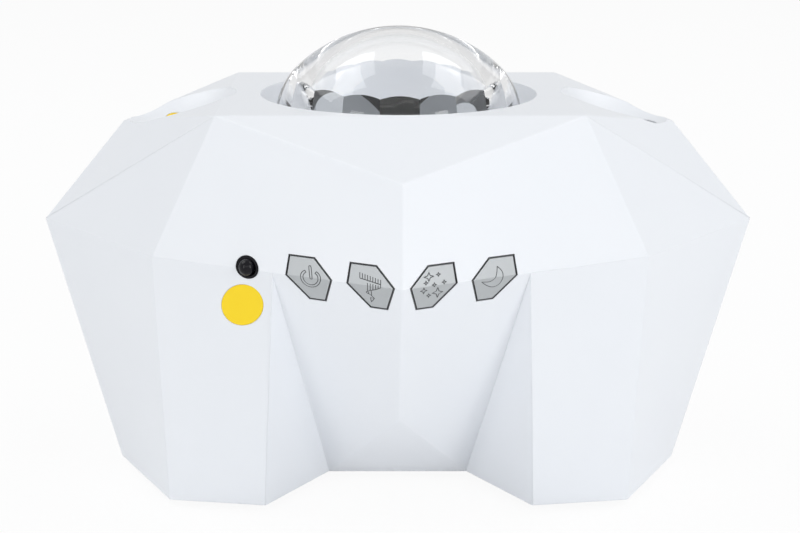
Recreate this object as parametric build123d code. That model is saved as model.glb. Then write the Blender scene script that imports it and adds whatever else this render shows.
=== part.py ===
from build123d import *
import math
import os

import numpy as np

os.makedirs("parts", exist_ok=True)

# Faceted casing: half sizes from the middle planes, with the front facing -Y
foot_height = 1.5
lower_height = 60.5
upper_height = 30.2
wall = 2.2
belt_side_x = 84.0
belt_shoulder_x = 54.0
belt_shoulder_y = 37.0
belt_nose_y = 64.5
base_side_x = 68.0
base_corner_x = 53.0
base_corner_y = 28.0
base_toe_x = 30.5
base_toe_y = 31.5
base_notch_x = 16.5
base_notch_y = 10.3
top_x = 40.0
top_y = 32.6
wing_tip_x = 64.5
wing_drop = 6.7
ridge_y = 56.8
beak_y = 35.4

# Dome and its well
well_rim = 0.4
well_depth = 8.7
well_taper = 1.4
well_lip = 2.0
dome_gap = 0.3
dome_height = 22.0
dome_shoulder_r = 18.0
dome_foot = 2.0
dome_wall = 3.0
dome_side = 8.3
dome_cap_r = 24.3
dome_lip_lap = 1.5
dome_flange_width = 4.0
dome_flange = 2.0
dome_facets = 16
dome_facet_tilts = (42, 54, 66, 78)

# Scoops in the wings and the projectors below them
scoop_rim_r = 13.3
scoop_land = 4.7
scoop_depth = 5.0
scoop_floor = 2.5
projector_sleeve = 11.0
sleeve_wall = 2.0
star_bore_r = 3.0
laser_r = 6.4
laser_length = 26.0
laser_beam_r = 2.0
laser_beam_depth = 6.4
laser_board_r = 5.9
window_r = 4.5
window_thick = 1.0
grating_thick = 0.4
moon_barrel_r = 8.2
moon_barrel_length = 28.0
moon_snout_r = 6.4
moon_snout = 3.0
moon_view_r = 5.3
moon_lens_r = 6.6
moon_lens_edge = 1.6
moon_lens_bulge = 1.1
moon_lens_pocket = 4.0
moon_ring_flange = 1.2
moon_throat = 10.0
moon_slide_thick = 0.4
condenser_edge = 1.4
condenser_bulge = 2.4
spacer_wall = 1.0
small_board = 1.6
small_led = 3.0
small_led_height = 0.8

# Lamp, ripple plate and drive
gear_module = 0.8
ring_teeth = 60
pinion_teeth = 14
gear_backlash = 0.14
tooth_above = 0.8
tooth_below = 1.05
gear_pressure = 20.0
gear_spread = 0.1
gear_width = 3.0
gear_lift = 2.0
gear_room = 1.76
ring_width = 4.0
ripple_seat = 1.0
ripple_plate = 1.2
ripple_pitch = 3.4
ripple_r = 2.4
ripple_rise = 0.7
hub_r = 4.0
can_wall = 1.6
can_flange = 2.5
can_step = 1.5
can_upper = 11.0
can_lower = 16.5
motor_gap = 1.7
can_ear_r = 3.6
shroud_wall = 1.4
shroud_gap = 2.4
shroud_flange = 1.6
shroud_seat = 1.2
shroud_height = 8.6
axle_r = 1.5
axle_shoulder_r = 2.6
clip_r = 3.0
clip_thick = 0.6
clip_bite = 0.4
sink_plate = 4.0
sink_fins = 8.0
fin_count = 9
fin_thick = 1.2
fin_pitch = 4.6
lug_r = 3.0
led_count = 6
led_ring_r = 11.0
led_size = 5.0
led_height = 1.0
led_lens_r = 2.0
motor_x = 12.0
motor_y = 10.0
motor_gearbox = 9.0
motor_can = 15.0
shaft_r = 1.5
shaft_hold = 5.0
shelf_margin = 2.4
motor_screw_inset = 1.6

# Buttons across the parting line, seen from the front
button_inner_x = 11.0
button_pitch = 12.83
button_width = 9.1
button_top_in = 0.62
button_top_width = 5.08
button_rise = 3.75
button_drop = 5.5
button_foot_in = 4.7
button_foot_width = 3.17
button_gap = 0.15
button_face = 2.0
button_side = 1.2
button_lap = 0.8
button_flange = 1.0
button_stem_r = 1.5
button_stem_reach = 1.4
button_travel = 0.6
frame_line = 0.25
frame_recess = 0.4
frame_backing = 0.8
frame_end = 3.77
frame_rise = 9.2
frame_drop = 7.2
frame_plate = 1.5
frame_gap = 0.5
rail_lap = 1.4
rail_wall = 1.3
rail_drop = 16.0
standoff_r = 1.6
standoff_inset = 3.4
standoff_rise = 7.0
standoff_drop = 5.0
switch_size = 6.0
switch_height = 3.5
plunger_r = 1.7
plunger_stand = 1.5
plunger_hold = 1.8
board = 1.6
board_end = 4.0

# Remote control window and stickers
sensor_gap = 4.9
sensor_lift = 0.3
sensor_hole_r = 2.5
sensor_ring = 0.5
sensor_flange_r = 3.4
sensor_flange = 1.0
sensor_proud = 0.15
receiver_lens_r = 1.75
receiver_x = 5.4
receiver_y = 3.5
receiver_z = 6.4
lead_r = 0.3
lead_pitch = 1.6
sticker_long = 5.83
sticker_short = 4.38
sticker_turn = 41.6
sticker_thick = 0.3
sticker_along = 0.757
sticker_down = 0.1435
star_sticker_r = 1.9
star_sticker_turn = 84.0
star_sticker_tilt = 20.5

# Base, main board and power socket
post_x = 47.5
post_y = 17.0
post_r = 4.4
boss_r = 3.6
foot_r = 6.0
foot_recess = 1.0
board_lift = 12.5
main_board_x = 42.6
main_board_y = 16.5
board_post_x = 36.0
board_post_y = 12.5
board_post_r = 3.0
socket_x = 38.0
socket_width = 8.94
socket_height = 3.26
socket_length = 7.3
socket_wall = 0.3
socket_tongue = 0.7
socket_back = 0.9
tongue_setback = 0.6
socket_gap = 0.4
plug_width = 12.6
plug_height = 7.0
tab_width = 10.2
rear_slant = 30.0

# Components on the main board: x, y, length, width, height
chips = ((0, 0, 10, 10, 1.4), (-18, 4, 6, 5, 1.5), (16, -4, 6, 5, 1.5), (27, -3, 4, 4, 1.0))
connector_x = {"laser": -24.0, "led": -13.5, "motor": -3.0, "button": 7.5, "moon": 18.0}
connector_y = -12.5
connector_size = (8.0, 5.0, 6.0)
capacitor_x = (12.0, 21.0)
capacitor_y = 11.0
capacitor_r = 3.2
capacitor_height = 7.0

# Leads inside the casing
wire_r = 0.8
wire_bend_share = 0.7
led_wire_x = -18.0

# Fasteners: shank radius, head radius, head height
casing_screw = (1.5, 2.7, 2.0)
can_screw = (1.25, 2.2, 1.6)
small_screw = (0.8, 1.5, 1.0)
board_screw = (1.25, 2.2, 1.6)
casing_screw_web = 8.0
casing_screw_bite = 4.0
can_screw_bite = 7.0
small_screw_bite = 3.0
board_screw_bite = 5.0
screw_clear = 0.2
recess_share = 0.5
driver_clear = 0.2

# Fits
slip = 0.1
running = 0.05
snug = 0.02

# Levels
base_z = foot_height
belt_z = base_z + lower_height
top_z = belt_z + upper_height
wing_z = top_z - wing_drop
floor_z = base_z + wall
well_floor_z = top_z - well_depth
dome_flange_top = well_floor_z - well_lip
dome_flange_bottom = dome_flange_top - dome_flange
can_top = dome_flange_bottom
can_flange_bottom = can_top - can_flange
can_step_top = can_top - can_upper
can_step_bottom = can_step_top - can_step
can_bottom = can_step_bottom - can_lower
motor_bottom = can_step_bottom - motor_gearbox - motor_can
sink_top = can_bottom
sink_bottom = sink_top - sink_plate
led_board_top = sink_top + small_board
gear_bottom = can_step_top + gear_lift
gear_top = gear_bottom + gear_width
plate_bottom = gear_top - ripple_plate
axle_top = gear_top + ripple_rise + clip_thick * 2
casing_seat_z = belt_z - casing_screw_web
board_bottom = floor_z + board_lift
board_top = board_bottom + board
connector_top = board_top + connector_size[2]
wire_level = (board_top + capacitor_height + sink_bottom - sink_fins) / 2
wire_bend = (wire_level - connector_top) * wire_bend_share
socket_middle_z = board_top + socket_height / 2

# Radii that follow from one another
well_r = top_y - well_rim
dome_hole_r = well_r - well_taper - dome_lip_lap
dome_r = dome_hole_r - dome_gap
dome_inner_r = dome_r - dome_side
dome_flange_r = dome_r + dome_flange_width
dome_equator = well_floor_z + dome_foot
ring_pitch_r = gear_module * ring_teeth / 2
pinion_pitch_r = gear_module * pinion_teeth / 2
gear_addendum = tooth_above * gear_module
gear_dedendum = tooth_below * gear_module
can_inner_r = ring_pitch_r + gear_addendum + gear_room
can_outer_r = can_inner_r + can_wall
shroud_r = dome_inner_r - shroud_gap
shroud_flange_r = can_inner_r + shroud_seat
can_flange_r = dome_flange_r + slip
ear_ring_r = can_flange_r + can_ear_r
drive_y = ring_pitch_r + pinion_pitch_r + gear_spread
lens_plate_r = ring_pitch_r - gear_dedendum - ring_width / 2
can_lower_r = drive_y - motor_y / 2 - motor_gap - can_wall
lug_ring_r = can_lower_r + can_wall + lug_r / 2
motor_screw_places = [(side * (motor_x / 2 - motor_screw_inset), drive_y) for side in (-1, 1)]
led_wire_y = fin_pitch / 2


def upright(radius, bottom, top, x=0.0, y=0.0):
    """A vertical cylinder between two levels."""
    up = (Align.CENTER, Align.CENTER, Align.MIN)
    return Pos(x, y, bottom) * Cylinder(radius, top - bottom, align=up)


def block(x_range, y_range, z_range):
    """A box between two limits on each axis."""
    spans = (x_range, y_range, z_range)
    sizes = [high - low for low, high in spans]
    middle = [(high + low) / 2 for low, high in spans]
    return Pos(*middle) * Box(*sizes)


def along_y(face, front, back):
    """A face drawn in x and z, carried from one y to another."""
    plane = Plane((0, front, 0), x_dir=(1, 0, 0), z_dir=(0, -1, 0))
    return extrude(plane * face, amount=front - back)


def rod_y(radius, front, back, x, z):
    """A cylinder that runs from front to back."""
    return along_y(Pos(x, z) * Circle(radius), front, back)


def around(radius, count, start=0.0):
    """Evenly spaced places on a circle."""
    for step in range(count):
        turn = math.radians(start + 360 * step / count)
        yield radius * math.cos(turn), radius * math.sin(turn)


def four(x, y):
    """The four mirrored places of a corner."""
    return [(sx * x, sy * y) for sx in (1, -1) for sy in (1, -1)]


def both(shape):
    """A shape and its mirror image across the middle plane."""
    return shape + mirror(shape, about=Plane.YZ)


def screw_up(size, seat_z, tip_z, x, y):
    """A screw driven upwards, with its head below the seat."""
    shank_r, head_r, head = size
    recess = RegularPolygon(head_r * recess_share, 6)
    driver = Pos(x, y, seat_z - head) * extrude(recess, amount=head * recess_share)
    return upright(shank_r, seat_z, tip_z, x, y) + upright(head_r, seat_z - head, seat_z, x, y) - driver


def screw_down(size, seat_z, tip_z, x, y):
    """A screw driven downwards, with its head above the seat."""
    up = screw_up(size, 0, seat_z - tip_z, 0, 0)
    return Pos(x, y, seat_z) * Rot(180, 0, 0) * up


# Corners of the right front quarter of the casing
def plane_height(a, b, c, x, y):
    """Height of the plane through three points above a place."""
    normal = np.cross(np.subtract(b, a), np.subtract(c, a))
    return a[2] - (normal[0] * (x - a[0]) + normal[1] * (y - a[1])) / normal[2]


corner = {
    "top": (top_x, -top_y, top_z),
    "wing": (wing_tip_x, 0, wing_z),
    "side": (belt_side_x, 0, belt_z),
    "shoulder": (belt_shoulder_x, -belt_shoulder_y, belt_z),
    "cheek": (belt_shoulder_x / 2, -(belt_shoulder_y + belt_nose_y) / 2, belt_z),
    "nose": (0, -belt_nose_y, belt_z),
    "side_foot": (base_side_x, 0, base_z),
    "corner_foot": (base_corner_x, -base_corner_y, base_z),
    "toe": (base_toe_x, -base_toe_y, base_z),
    "notch": (base_notch_x, -base_notch_y, base_z),
}
ridge_z = plane_height(corner["top"], corner["cheek"], corner["nose"], 0, -ridge_y)
beak_z = plane_height(corner["cheek"], corner["nose"], corner["notch"], 0, -beak_y)
corner["ridge"] = (0, -ridge_y, ridge_z)
corner["beak"] = (0, -beak_y, beak_z)


def at(name, sx, sy):
    """The name of a corner in one of the four quarters."""
    x, y, _ = corner[name]
    return name, sx if x else 1, sy if y else 1


def ring(names):
    """A closed loop through the same corners of all four quarters."""
    loop = []
    for sx, sy, order in ((1, 1, 1), (-1, 1, -1), (-1, -1, 1), (1, -1, -1)):
        for name in names[::order]:
            if at(name, sx, sy) not in loop:
                loop.append(at(name, sx, sy))
    return loop


upper_facets = [["top", "wing", "side"], ["top", "side", "shoulder"]]
upper_facets += [["top", "shoulder", "cheek"], ["top", "cheek", "nose", "ridge"]]
lower_facets = [["side", "shoulder", "corner_foot", "side_foot"]]
lower_facets += [["shoulder", "cheek", "toe", "corner_foot"]]
lower_facets += [["cheek", "notch", "toe"], ["cheek", "nose", "beak", "notch"]]
upper_skin = []
lower_skin = []
for sx in (1, -1):
    for sy in (1, -1):
        upper_skin += [[at(name, sx, sy) for name in facet] for facet in upper_facets]
        lower_skin += [[at(name, sx, sy) for name in facet] for facet in lower_facets]
    upper_skin.append([at("top", sx, 1), at("top", sx, -1), at("wing", sx, 1)])
for sy in (1, -1):
    upper_skin.append([at("top", 1, sy), at("top", -1, sy), at("ridge", 1, sy)])
    lower_skin.append([at("notch", 1, sy), at("notch", -1, sy), at("beak", 1, sy)])
upper_skin.append(ring(["top"]))
lower_skin.append(ring(["side_foot", "corner_foot", "toe", "notch"]))
belt_loop = ring(["side", "shoulder", "cheek", "nose"])
outer_points = {key: np.multiply(corner[key[0]], (key[1], key[2], 1)) for skin in (upper_skin, lower_skin)
                for facet in skin for key in facet}
casing_core = np.array((0, 0, belt_z))


def inset_point(key, depth):
    """A corner moved inwards until it lies one wall under each of its facets."""
    here = outer_points[key]
    rows = []
    shifts = []
    for facet in upper_skin + lower_skin:
        if key in facet:
            place = facet.index(key)
            ahead = outer_points[facet[(place + 1) % len(facet)]] - here
            behind = outer_points[facet[place - 1]] - here
            normal = np.cross(ahead, behind)
            normal = normal / np.linalg.norm(normal)
            outward = math.copysign(1, normal @ (here - casing_core))
            rows.append(normal * outward)
            shifts.append(-depth)
    level = {"top": -depth, "side_foot": depth, "corner_foot": depth, "toe": depth, "notch": depth}
    if key in belt_loop or key[0] in level:
        hold = 1000.0
        rows.append(np.array((0, 0, hold)))
        shifts.append(hold * level.get(key[0], 0.0))
    return here + np.linalg.lstsq(np.array(rows), np.array(shifts), rcond=None)[0]


def faceted(skin, points):
    """A closed solid of flat facets and twisted four-sided ones."""
    faces = []
    for facet in skin:
        spots = [Vector(*points[key]) for key in facet]
        twist = (spots[1] - spots[0]).cross(spots[-1] - spots[0]).dot(spots[2] - spots[0])
        if len(spots) == 4 and abs(twist) > 0.001:
            faces.append(Face.make_bezier_surface([[spots[0], spots[1]], [spots[3], spots[2]]]))
        else:
            faces.append(Face(Wire.make_polygon(spots)))
    return Part() + Solid(Shell(faces))


inner_points = {key: inset_point(key, wall) for key in outer_points}
outer_upper = faceted(upper_skin + [belt_loop], outer_points)
outer_lower = faceted(lower_skin + [belt_loop], outer_points)
inner_upper = faceted(upper_skin + [belt_loop], inner_points)
inner_lower = faceted(lower_skin + [belt_loop], inner_points)
body = outer_upper + outer_lower
cavity = inner_upper + inner_lower


def facet_y(names, x, z, depth):
    """Where a line along Y meets the front of a facet, at a depth under its surface."""
    a, b, c = (np.array(corner[name]) for name in names)
    normal = np.cross(b - a, c - a)
    normal = normal / np.linalg.norm(normal)
    if normal[1] > 0:
        normal = -normal
    return a[1] + (-depth - normal[0] * (x - a[0]) - normal[2] * (z - a[2])) / normal[1]


# Scoop bowls: a ball that meets the wing in a circle
wing_slope = math.atan2(wing_drop, wing_tip_x - top_x)
scoop_x = well_r + scoop_land + scoop_rim_r
scoop_r = (scoop_rim_r ** 2 + scoop_depth ** 2) / (2 * scoop_depth)
scoop_stand = scoop_r - scoop_depth
projector_x = scoop_x + scoop_stand * math.sin(wing_slope)
scoop_centre_z = top_z - (scoop_x - top_x) * math.tan(wing_slope) + scoop_stand * math.cos(wing_slope)
scoop_floor_z = scoop_centre_z - scoop_r
projector_top = scoop_floor_z - scoop_floor
sleeve_bottom = projector_top - projector_sleeve
star_x = -projector_x
moon_x = projector_x
star_sleeve_r = laser_r + slip
moon_sleeve_r = moon_barrel_r + slip
laser_top = projector_top - window_thick - grating_thick
laser_bottom = laser_top - laser_length
barrel_top = projector_top - moon_ring_flange
barrel_bottom = barrel_top - moon_barrel_length
lens_seat_z = barrel_top - moon_lens_pocket
slide_seat_z = lens_seat_z - moon_throat
condenser_bottom = slide_seat_z - moon_slide_thick - condenser_bulge - condenser_edge

# Button, frame and board places from side to side
button_x = {"stars": button_inner_x, "moon": button_inner_x + button_pitch}
switch_places = [side * (x - button_width / 2) for side in (-1, 1) for x in button_x.values()]
frame_half_x = button_x["moon"] + frame_end
standoff_x = frame_half_x - standoff_inset
sensor_x = frame_half_x + sensor_gap
button_board_reach = sensor_x + board_end

# Button, frame and board places from front to back
frame_front = facet_y(("cheek", "nose", "notch"), frame_half_x, belt_z - frame_drop, wall) + frame_gap
frame_back = frame_front + frame_plate
flange_front = frame_back + button_gap * 2
flange_back = flange_front + button_flange
stem_end = flange_back + button_stem_reach
switch_front = stem_end + plunger_stand
board_front = switch_front + switch_height
board_back = board_front + board
front_limit = -belt_nose_y - wall


def button_outline(x):
    """Six-sided outline of the button whose outer corner on the parting line is at x."""
    top = x - button_top_in
    foot = x - button_foot_in
    spots = [(x, 0), (top, button_rise), (top - button_top_width, button_rise), (x - button_width, 0)]
    spots += [(foot - button_foot_width, -button_drop), (foot, -button_drop)]
    return Pos(0, belt_z) * make_face(Polyline(*spots, close=True))


def grown(face, margin):
    """An outline moved outwards, or inwards when the margin is negative."""
    return offset(face, margin, kind=Kind.INTERSECTION)


frame_margin = button_gap + frame_line
button_openings = []
for x in button_x.values():
    button_openings.append(both(along_y(grown(button_outline(x), frame_margin), front_limit, frame_front)))
sensor_z = belt_z + sensor_lift
sensor_flange_front = facet_y(("shoulder", "cheek", "corner_foot"), sensor_x + sensor_flange_r,
                              sensor_z - sensor_flange_r, wall) + frame_gap
sensor_hole = rod_y(sensor_hole_r, front_limit, sensor_flange_front, -sensor_x, sensor_z)


# Upper casing
def make_upper_casing():
    shell = outer_upper - inner_upper
    inside = upright(well_r + wall, dome_flange_top, top_z)
    for x, y in four(post_x, post_y):
        inside += upright(boss_r, belt_z, top_z, x, y)
    for x, y in around(ear_ring_r, 4, 45):
        inside += upright(can_ear_r, can_top, top_z - wall / 2, x, y)
    for x, sleeve_r in ((star_x, star_sleeve_r), (moon_x, moon_sleeve_r)):
        ball = Pos(x, 0, scoop_centre_z) * Sphere(scoop_r + wall)
        inside += ball & upright(scoop_rim_r + wall, scoop_floor_z - wall, top_z, math.copysign(scoop_x, x))
        inside += upright(sleeve_r + sleeve_wall, sleeve_bottom, scoop_floor_z, x)
    shell += inside & outer_upper
    shell -= Pos(0, 0, well_floor_z) * Cone(well_r - well_taper, well_r, well_depth,
                                           align=(Align.CENTER, Align.CENTER, Align.MIN))
    shell -= upright(dome_hole_r, dome_flange_top - wall, well_floor_z + wall)
    bores = ((star_x, star_sleeve_r, star_bore_r), (moon_x, moon_sleeve_r, moon_snout_r + slip))
    for x, sleeve_r, bore_r in bores:
        shell -= Pos(x, 0, scoop_centre_z) * Sphere(scoop_r)
        shell -= upright(sleeve_r, sleeve_bottom - wall, projector_top, x)
        shell -= upright(bore_r, projector_top - wall, scoop_floor_z + wall, x)
    for x, y in four(post_x, post_y):
        shell -= upright(casing_screw[0] + snug, belt_z, belt_z + casing_screw_bite + slip, x, y)
    for x, y in around(ear_ring_r, 4, 45):
        shell -= upright(can_screw[0] + snug, can_top, can_top + can_screw_bite + slip, x, y)
    for opening in button_openings:
        shell -= opening
    shell -= sensor_hole
    return shell - make_star_sticker(0)


# Lower casing
def sticker_plane():
    """Tangent plane of the left front facet at the middle of the sticker."""
    names = ("shoulder", "cheek", "corner_foot", "toe")
    a, b, c, d = (Vector(*corner[name]) for name in names)
    upper_spot = a + (b - a) * sticker_along
    lower_spot = c + (d - c) * sticker_along
    centre = upper_spot + (lower_spot - upper_spot) * sticker_down
    across = (b - a) * (1 - sticker_down) + (d - c) * sticker_down
    normal = (lower_spot - upper_spot).cross(across)
    if normal.Y > 0:
        normal = normal * -1
    outward = Vector(-normal.X, normal.Y, normal.Z)
    across_left = Vector(0, 0, 1).cross(outward)
    return Plane(Vector(-centre.X, centre.Y, centre.Z), x_dir=across_left, z_dir=outward)


def sticker_oval(margin):
    """Oval that shows as a round from the front, since its facet slopes away."""
    return Rot(0, 0, sticker_turn) * Ellipse(sticker_long + margin, sticker_short + margin)


def make_lower_casing():
    shell = outer_lower - inner_lower
    inside = Part()
    for x, y in four(post_x, post_y):
        inside += upright(post_r, base_z, belt_z, x, y)
    for x, y in four(board_post_x, board_post_y):
        inside += upright(board_post_r, base_z, floor_z + board_lift, x, y)
    rail_x = (frame_half_x - rail_lap, frame_half_x + slip + rail_wall)
    rail_z = (belt_z - rail_drop, belt_z)
    rail = block(rail_x, (frame_front - slip - rail_wall, frame_back + slip + rail_wall), rail_z)
    rail -= block((0, frame_half_x + slip), (frame_front - slip, frame_back + slip), rail_z)
    inside += both(rail)
    shell += inside & outer_lower
    for x, y in four(post_x, post_y):
        shell -= upright(casing_screw[0] + screw_clear, casing_seat_z - slip, belt_z, x, y)
        shell -= upright(casing_screw[1] + driver_clear, base_z, casing_seat_z, x, y)
        shell -= upright(foot_r + slip, base_z, base_z + foot_recess, x, y)
    for x, y in four(board_post_x, board_post_y):
        top = floor_z + board_lift
        shell -= upright(board_screw[0] + snug, top - board_screw_bite - slip, top, x, y)
    for opening in button_openings:
        shell -= opening
    shell -= sensor_hole
    mouth = Pos(socket_x, socket_middle_z) * SlotOverall(plug_width, plug_height)
    shell -= along_y(mouth, socket_front, belt_nose_y)
    seat = sticker_plane().offset(-sticker_thick)
    return shell - extrude(seat * sticker_oval(slip), amount=sticker_short)


# Dome with flat facets inside
def dome_profile():
    """Half section of the solid dome: a foot, a shoulder arc and a crown arc tangent to it."""
    side_x = dome_r - dome_shoulder_r
    spread = dome_height ** 2 + side_x ** 2 - dome_shoulder_r ** 2
    crown_r = spread / (2 * (dome_height - dome_shoulder_r))
    crown_drop = crown_r - dome_height
    turn = math.degrees(math.atan2(crown_drop, side_x))
    foot = Polyline((0, dome_equator + dome_height), (0, dome_flange_bottom),
                    (dome_flange_r, dome_flange_bottom), (dome_flange_r, dome_flange_top),
                    (dome_r, dome_flange_top), (dome_r, dome_equator))
    shoulder = CenterArc((side_x, dome_equator), dome_shoulder_r, 0, turn)
    crown = CenterArc((0, dome_equator - crown_drop), crown_r, turn, 90 - turn)
    return make_face([foot, shoulder, crown])


def make_dome():
    cap_z = dome_equator + dome_height - dome_wall - dome_cap_r
    arch_z = cap_z + math.sqrt(dome_cap_r ** 2 - dome_inner_r ** 2)
    rings = [facet_ring(dome_inner_r, dome_flange_bottom), facet_ring(dome_inner_r, arch_z)]
    for tilt in dome_facet_tilts:
        turn = math.radians(tilt)
        rings.append(facet_ring(dome_cap_r * math.cos(turn), cap_z + dome_cap_r * math.sin(turn)))
    return revolve(Plane.XZ * dome_profile(), axis=Axis.Z) - loft(rings, ruled=True)


def facet_ring(radius, z):
    """Many-sided outline of the inside of the dome at one level."""
    return Pos(0, 0, z) * RegularPolygon(radius, dome_facets)


def make_light_shroud():
    tube = upright(shroud_r, can_top - shroud_flange, can_top - shroud_flange + shroud_height)
    tube += upright(shroud_flange_r, can_top - shroud_flange, can_top)
    return tube - upright(shroud_r - shroud_wall, can_step_top, top_z)


# Lamp can, which clamps the dome flange and carries the drive
def make_lamp_can():
    can = upright(can_flange_r, can_flange_bottom, can_top)
    for x, y in around(ear_ring_r, 4, 45):
        can += upright(can_ear_r, can_flange_bottom, can_top, x, y)
        can += Rot(0, 0, math.degrees(math.atan2(y, x))) * block(
            (can_flange_r - can_ear_r, ear_ring_r), (-can_ear_r, can_ear_r), (can_flange_bottom, can_top))
    can += upright(can_outer_r, can_step_bottom, can_top)
    shelf_y = drive_y + motor_y / 2 + shelf_margin
    shelf_x = motor_x / 2 + shelf_margin
    can += block((-shelf_x, shelf_x), (0, shelf_y), (can_step_bottom, can_step_top))
    can += upright(can_lower_r + can_wall, can_bottom, can_step_top)
    for x, y in around(lug_ring_r, 3, -90):
        can += upright(lug_r, can_bottom, can_step_top, x, y)
    can -= upright(shroud_flange_r + slip, can_top - shroud_flange, can_top)
    can -= upright(can_inner_r, can_step_top, can_top)
    can -= upright(can_lower_r, can_bottom, can_step_top)
    window_x = pinion_pitch_r + gear_addendum + gear_room / 2
    can -= block((-window_x, window_x), (can_lower_r, shelf_y), (can_step_top, can_flange_bottom))
    can -= upright(shaft_r + screw_clear * 2, can_step_bottom, can_step_top, 0, drive_y)
    for x, y in motor_screw_places:
        can -= upright(small_screw[0] + screw_clear, can_step_bottom, can_step_top, x, y)
    for x, y in around(ear_ring_r, 4, 45):
        can -= upright(can_screw[0] + screw_clear, can_flange_bottom, can_top, x, y)
    for x, y in around(lug_ring_r, 3, -90):
        can -= upright(can_screw[0] + snug, can_bottom, can_bottom + can_screw_bite + slip, x, y)
    return can


def make_heat_sink():
    sink = upright(can_lower_r + can_wall, sink_bottom, sink_top)
    for x, y in around(lug_ring_r, 3, -90):
        sink += upright(lug_r, sink_bottom, sink_top, x, y)
    for step in range(fin_count):
        y = (step - (fin_count - 1) / 2) * fin_pitch
        half = math.sqrt((can_lower_r + can_wall) ** 2 - y ** 2) - fin_thick
        fin_y = (y - fin_thick / 2, y + fin_thick / 2)
        sink += block((-half, half), fin_y, (sink_bottom - sink_fins, sink_bottom))
    for x, y in around(lug_ring_r, 3, -90):
        sink -= upright(can_screw[0] + screw_clear, sink_bottom - sink_fins, sink_top, x, y)
        sink -= upright(can_screw[1] + screw_clear, sink_bottom - sink_fins, sink_bottom, x, y)
    sink -= upright(wire_r + slip, sink_bottom - sink_fins, sink_top, led_wire_x, led_wire_y)
    return sink - upright(axle_r + snug, sink_bottom, sink_top)


def make_led_board():
    disc = upright(can_lower_r - slip, sink_top, led_board_top)
    return disc - upright(axle_shoulder_r + screw_clear, sink_top, led_board_top)


def make_aurora_leds():
    leds = []
    for x, y in around(led_ring_r, led_count):
        base = Pos(x, y, led_board_top) * Box(led_size, led_size, led_height,
                                              align=(Align.CENTER, Align.CENTER, Align.MIN))
        ball = Pos(x, y, led_board_top + led_height) * Sphere(led_lens_r)
        leds.append(base + (ball & upright(led_lens_r, led_board_top + led_height, gear_bottom, x, y)))
    return Compound(children=leds)


def make_ripple_axle():
    axle = upright(axle_r, sink_bottom, axle_top)
    axle += upright(axle_shoulder_r, sink_top, plate_bottom - running)
    groove_z = gear_top + ripple_rise + running
    groove = upright(axle_r, groove_z, groove_z + clip_thick) - upright(
        axle_r - clip_bite, groove_z, groove_z + clip_thick)
    return axle - groove


def make_axle_clip():
    groove_z = gear_top + ripple_rise + running
    disc = upright(clip_r, groove_z + running, groove_z + clip_thick - running)
    neck_r = axle_r - clip_bite
    throat = block((-neck_r, neck_r), (-clip_r, 0), (groove_z, groove_z + clip_thick))
    return disc - upright(neck_r + running, groove_z, groove_z + clip_thick) - throat


# Gears with involute flanks
def gear_face(teeth, start=0.0):
    """Outline of a spur gear with a tooth centred on the start angle."""
    pressure = math.radians(gear_pressure)
    pitch_r = gear_module * teeth / 2
    base_r = pitch_r * math.cos(pressure)
    root_r = pitch_r - gear_dedendum
    tip_r = pitch_r + gear_addendum
    half_pitch = (math.pi * gear_module / 2 - gear_backlash) / (2 * pitch_r)

    def half_width(radius):
        roll = math.acos(min(1.0, base_r / radius))
        return half_pitch + math.tan(pressure) - pressure - (math.tan(roll) - roll)

    low_r = max(base_r, root_r)
    flank = [(low_r + (tip_r - low_r) * step / 4) for step in range(5)]
    side = [(radius, half_width(radius)) for radius in flank]
    if root_r < low_r:
        side = [(root_r, half_width(low_r))] + side
    spots = []
    for tooth in range(teeth):
        middle = math.radians(start) + 2 * math.pi * tooth / teeth
        turns = [(radius, middle - turn) for radius, turn in side]
        turns += [(radius, middle + turn) for radius, turn in reversed(side)]
        spots += [(radius * math.cos(turn), radius * math.sin(turn)) for radius, turn in turns]
    return make_face(Polyline(*spots, close=True))


def make_ripple_gear():
    ring_gear = Pos(0, 0, gear_bottom) * extrude(gear_face(ring_teeth, 90), amount=gear_width)
    ring_gear -= upright(lens_plate_r - ripple_seat, gear_bottom, gear_top)
    return ring_gear - upright(lens_plate_r + snug, plate_bottom, gear_top)


def make_ripple_lens():
    plate = upright(lens_plate_r, plate_bottom, gear_top)
    reach = int(lens_plate_r / ripple_pitch)
    for step in range(-reach, reach + 1):
        rib = Pos(0, step * ripple_pitch, gear_top + ripple_rise - ripple_r) * Rot(0, 90, 0) * Cylinder(
            ripple_r, 2 * lens_plate_r)
        plate += rib & upright(lens_plate_r, gear_top, gear_top + ripple_rise)
    plate += upright(hub_r, plate_bottom, gear_top + ripple_rise)
    return plate - upright(axle_r + running, plate_bottom, gear_top + ripple_rise)


def make_drive_pinion():
    pinion = Pos(0, drive_y, gear_bottom - slip) * extrude(
        gear_face(pinion_teeth, -90 + 180 / pinion_teeth), amount=gear_width + 2 * slip)
    return pinion - upright(shaft_r + snug, can_step_top, axle_top, 0, drive_y)


def make_motor():
    half_x = motor_x / 2
    gearbox_bottom = can_step_bottom - motor_gearbox
    gearbox = block((-half_x, half_x), (drive_y - motor_y / 2, drive_y + motor_y / 2),
                    (gearbox_bottom, can_step_bottom))
    round_can = upright(half_x, gearbox_bottom - motor_can, gearbox_bottom, 0, drive_y)
    round_can &= block((-half_x, half_x), (drive_y - motor_y / 2, drive_y + motor_y / 2),
                       (gearbox_bottom - motor_can, gearbox_bottom))
    body_part = gearbox + round_can
    body_part -= upright(shaft_r + running, can_step_bottom - shaft_hold, can_step_bottom, 0, drive_y)
    for x, y in motor_screw_places:
        body_part -= upright(small_screw[0] + snug, can_step_bottom - small_screw_bite, can_step_bottom, x, y)
    return body_part


def make_motor_shaft():
    return upright(shaft_r, can_step_bottom - shaft_hold + slip, gear_top + 2 * slip, 0, drive_y)


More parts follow.
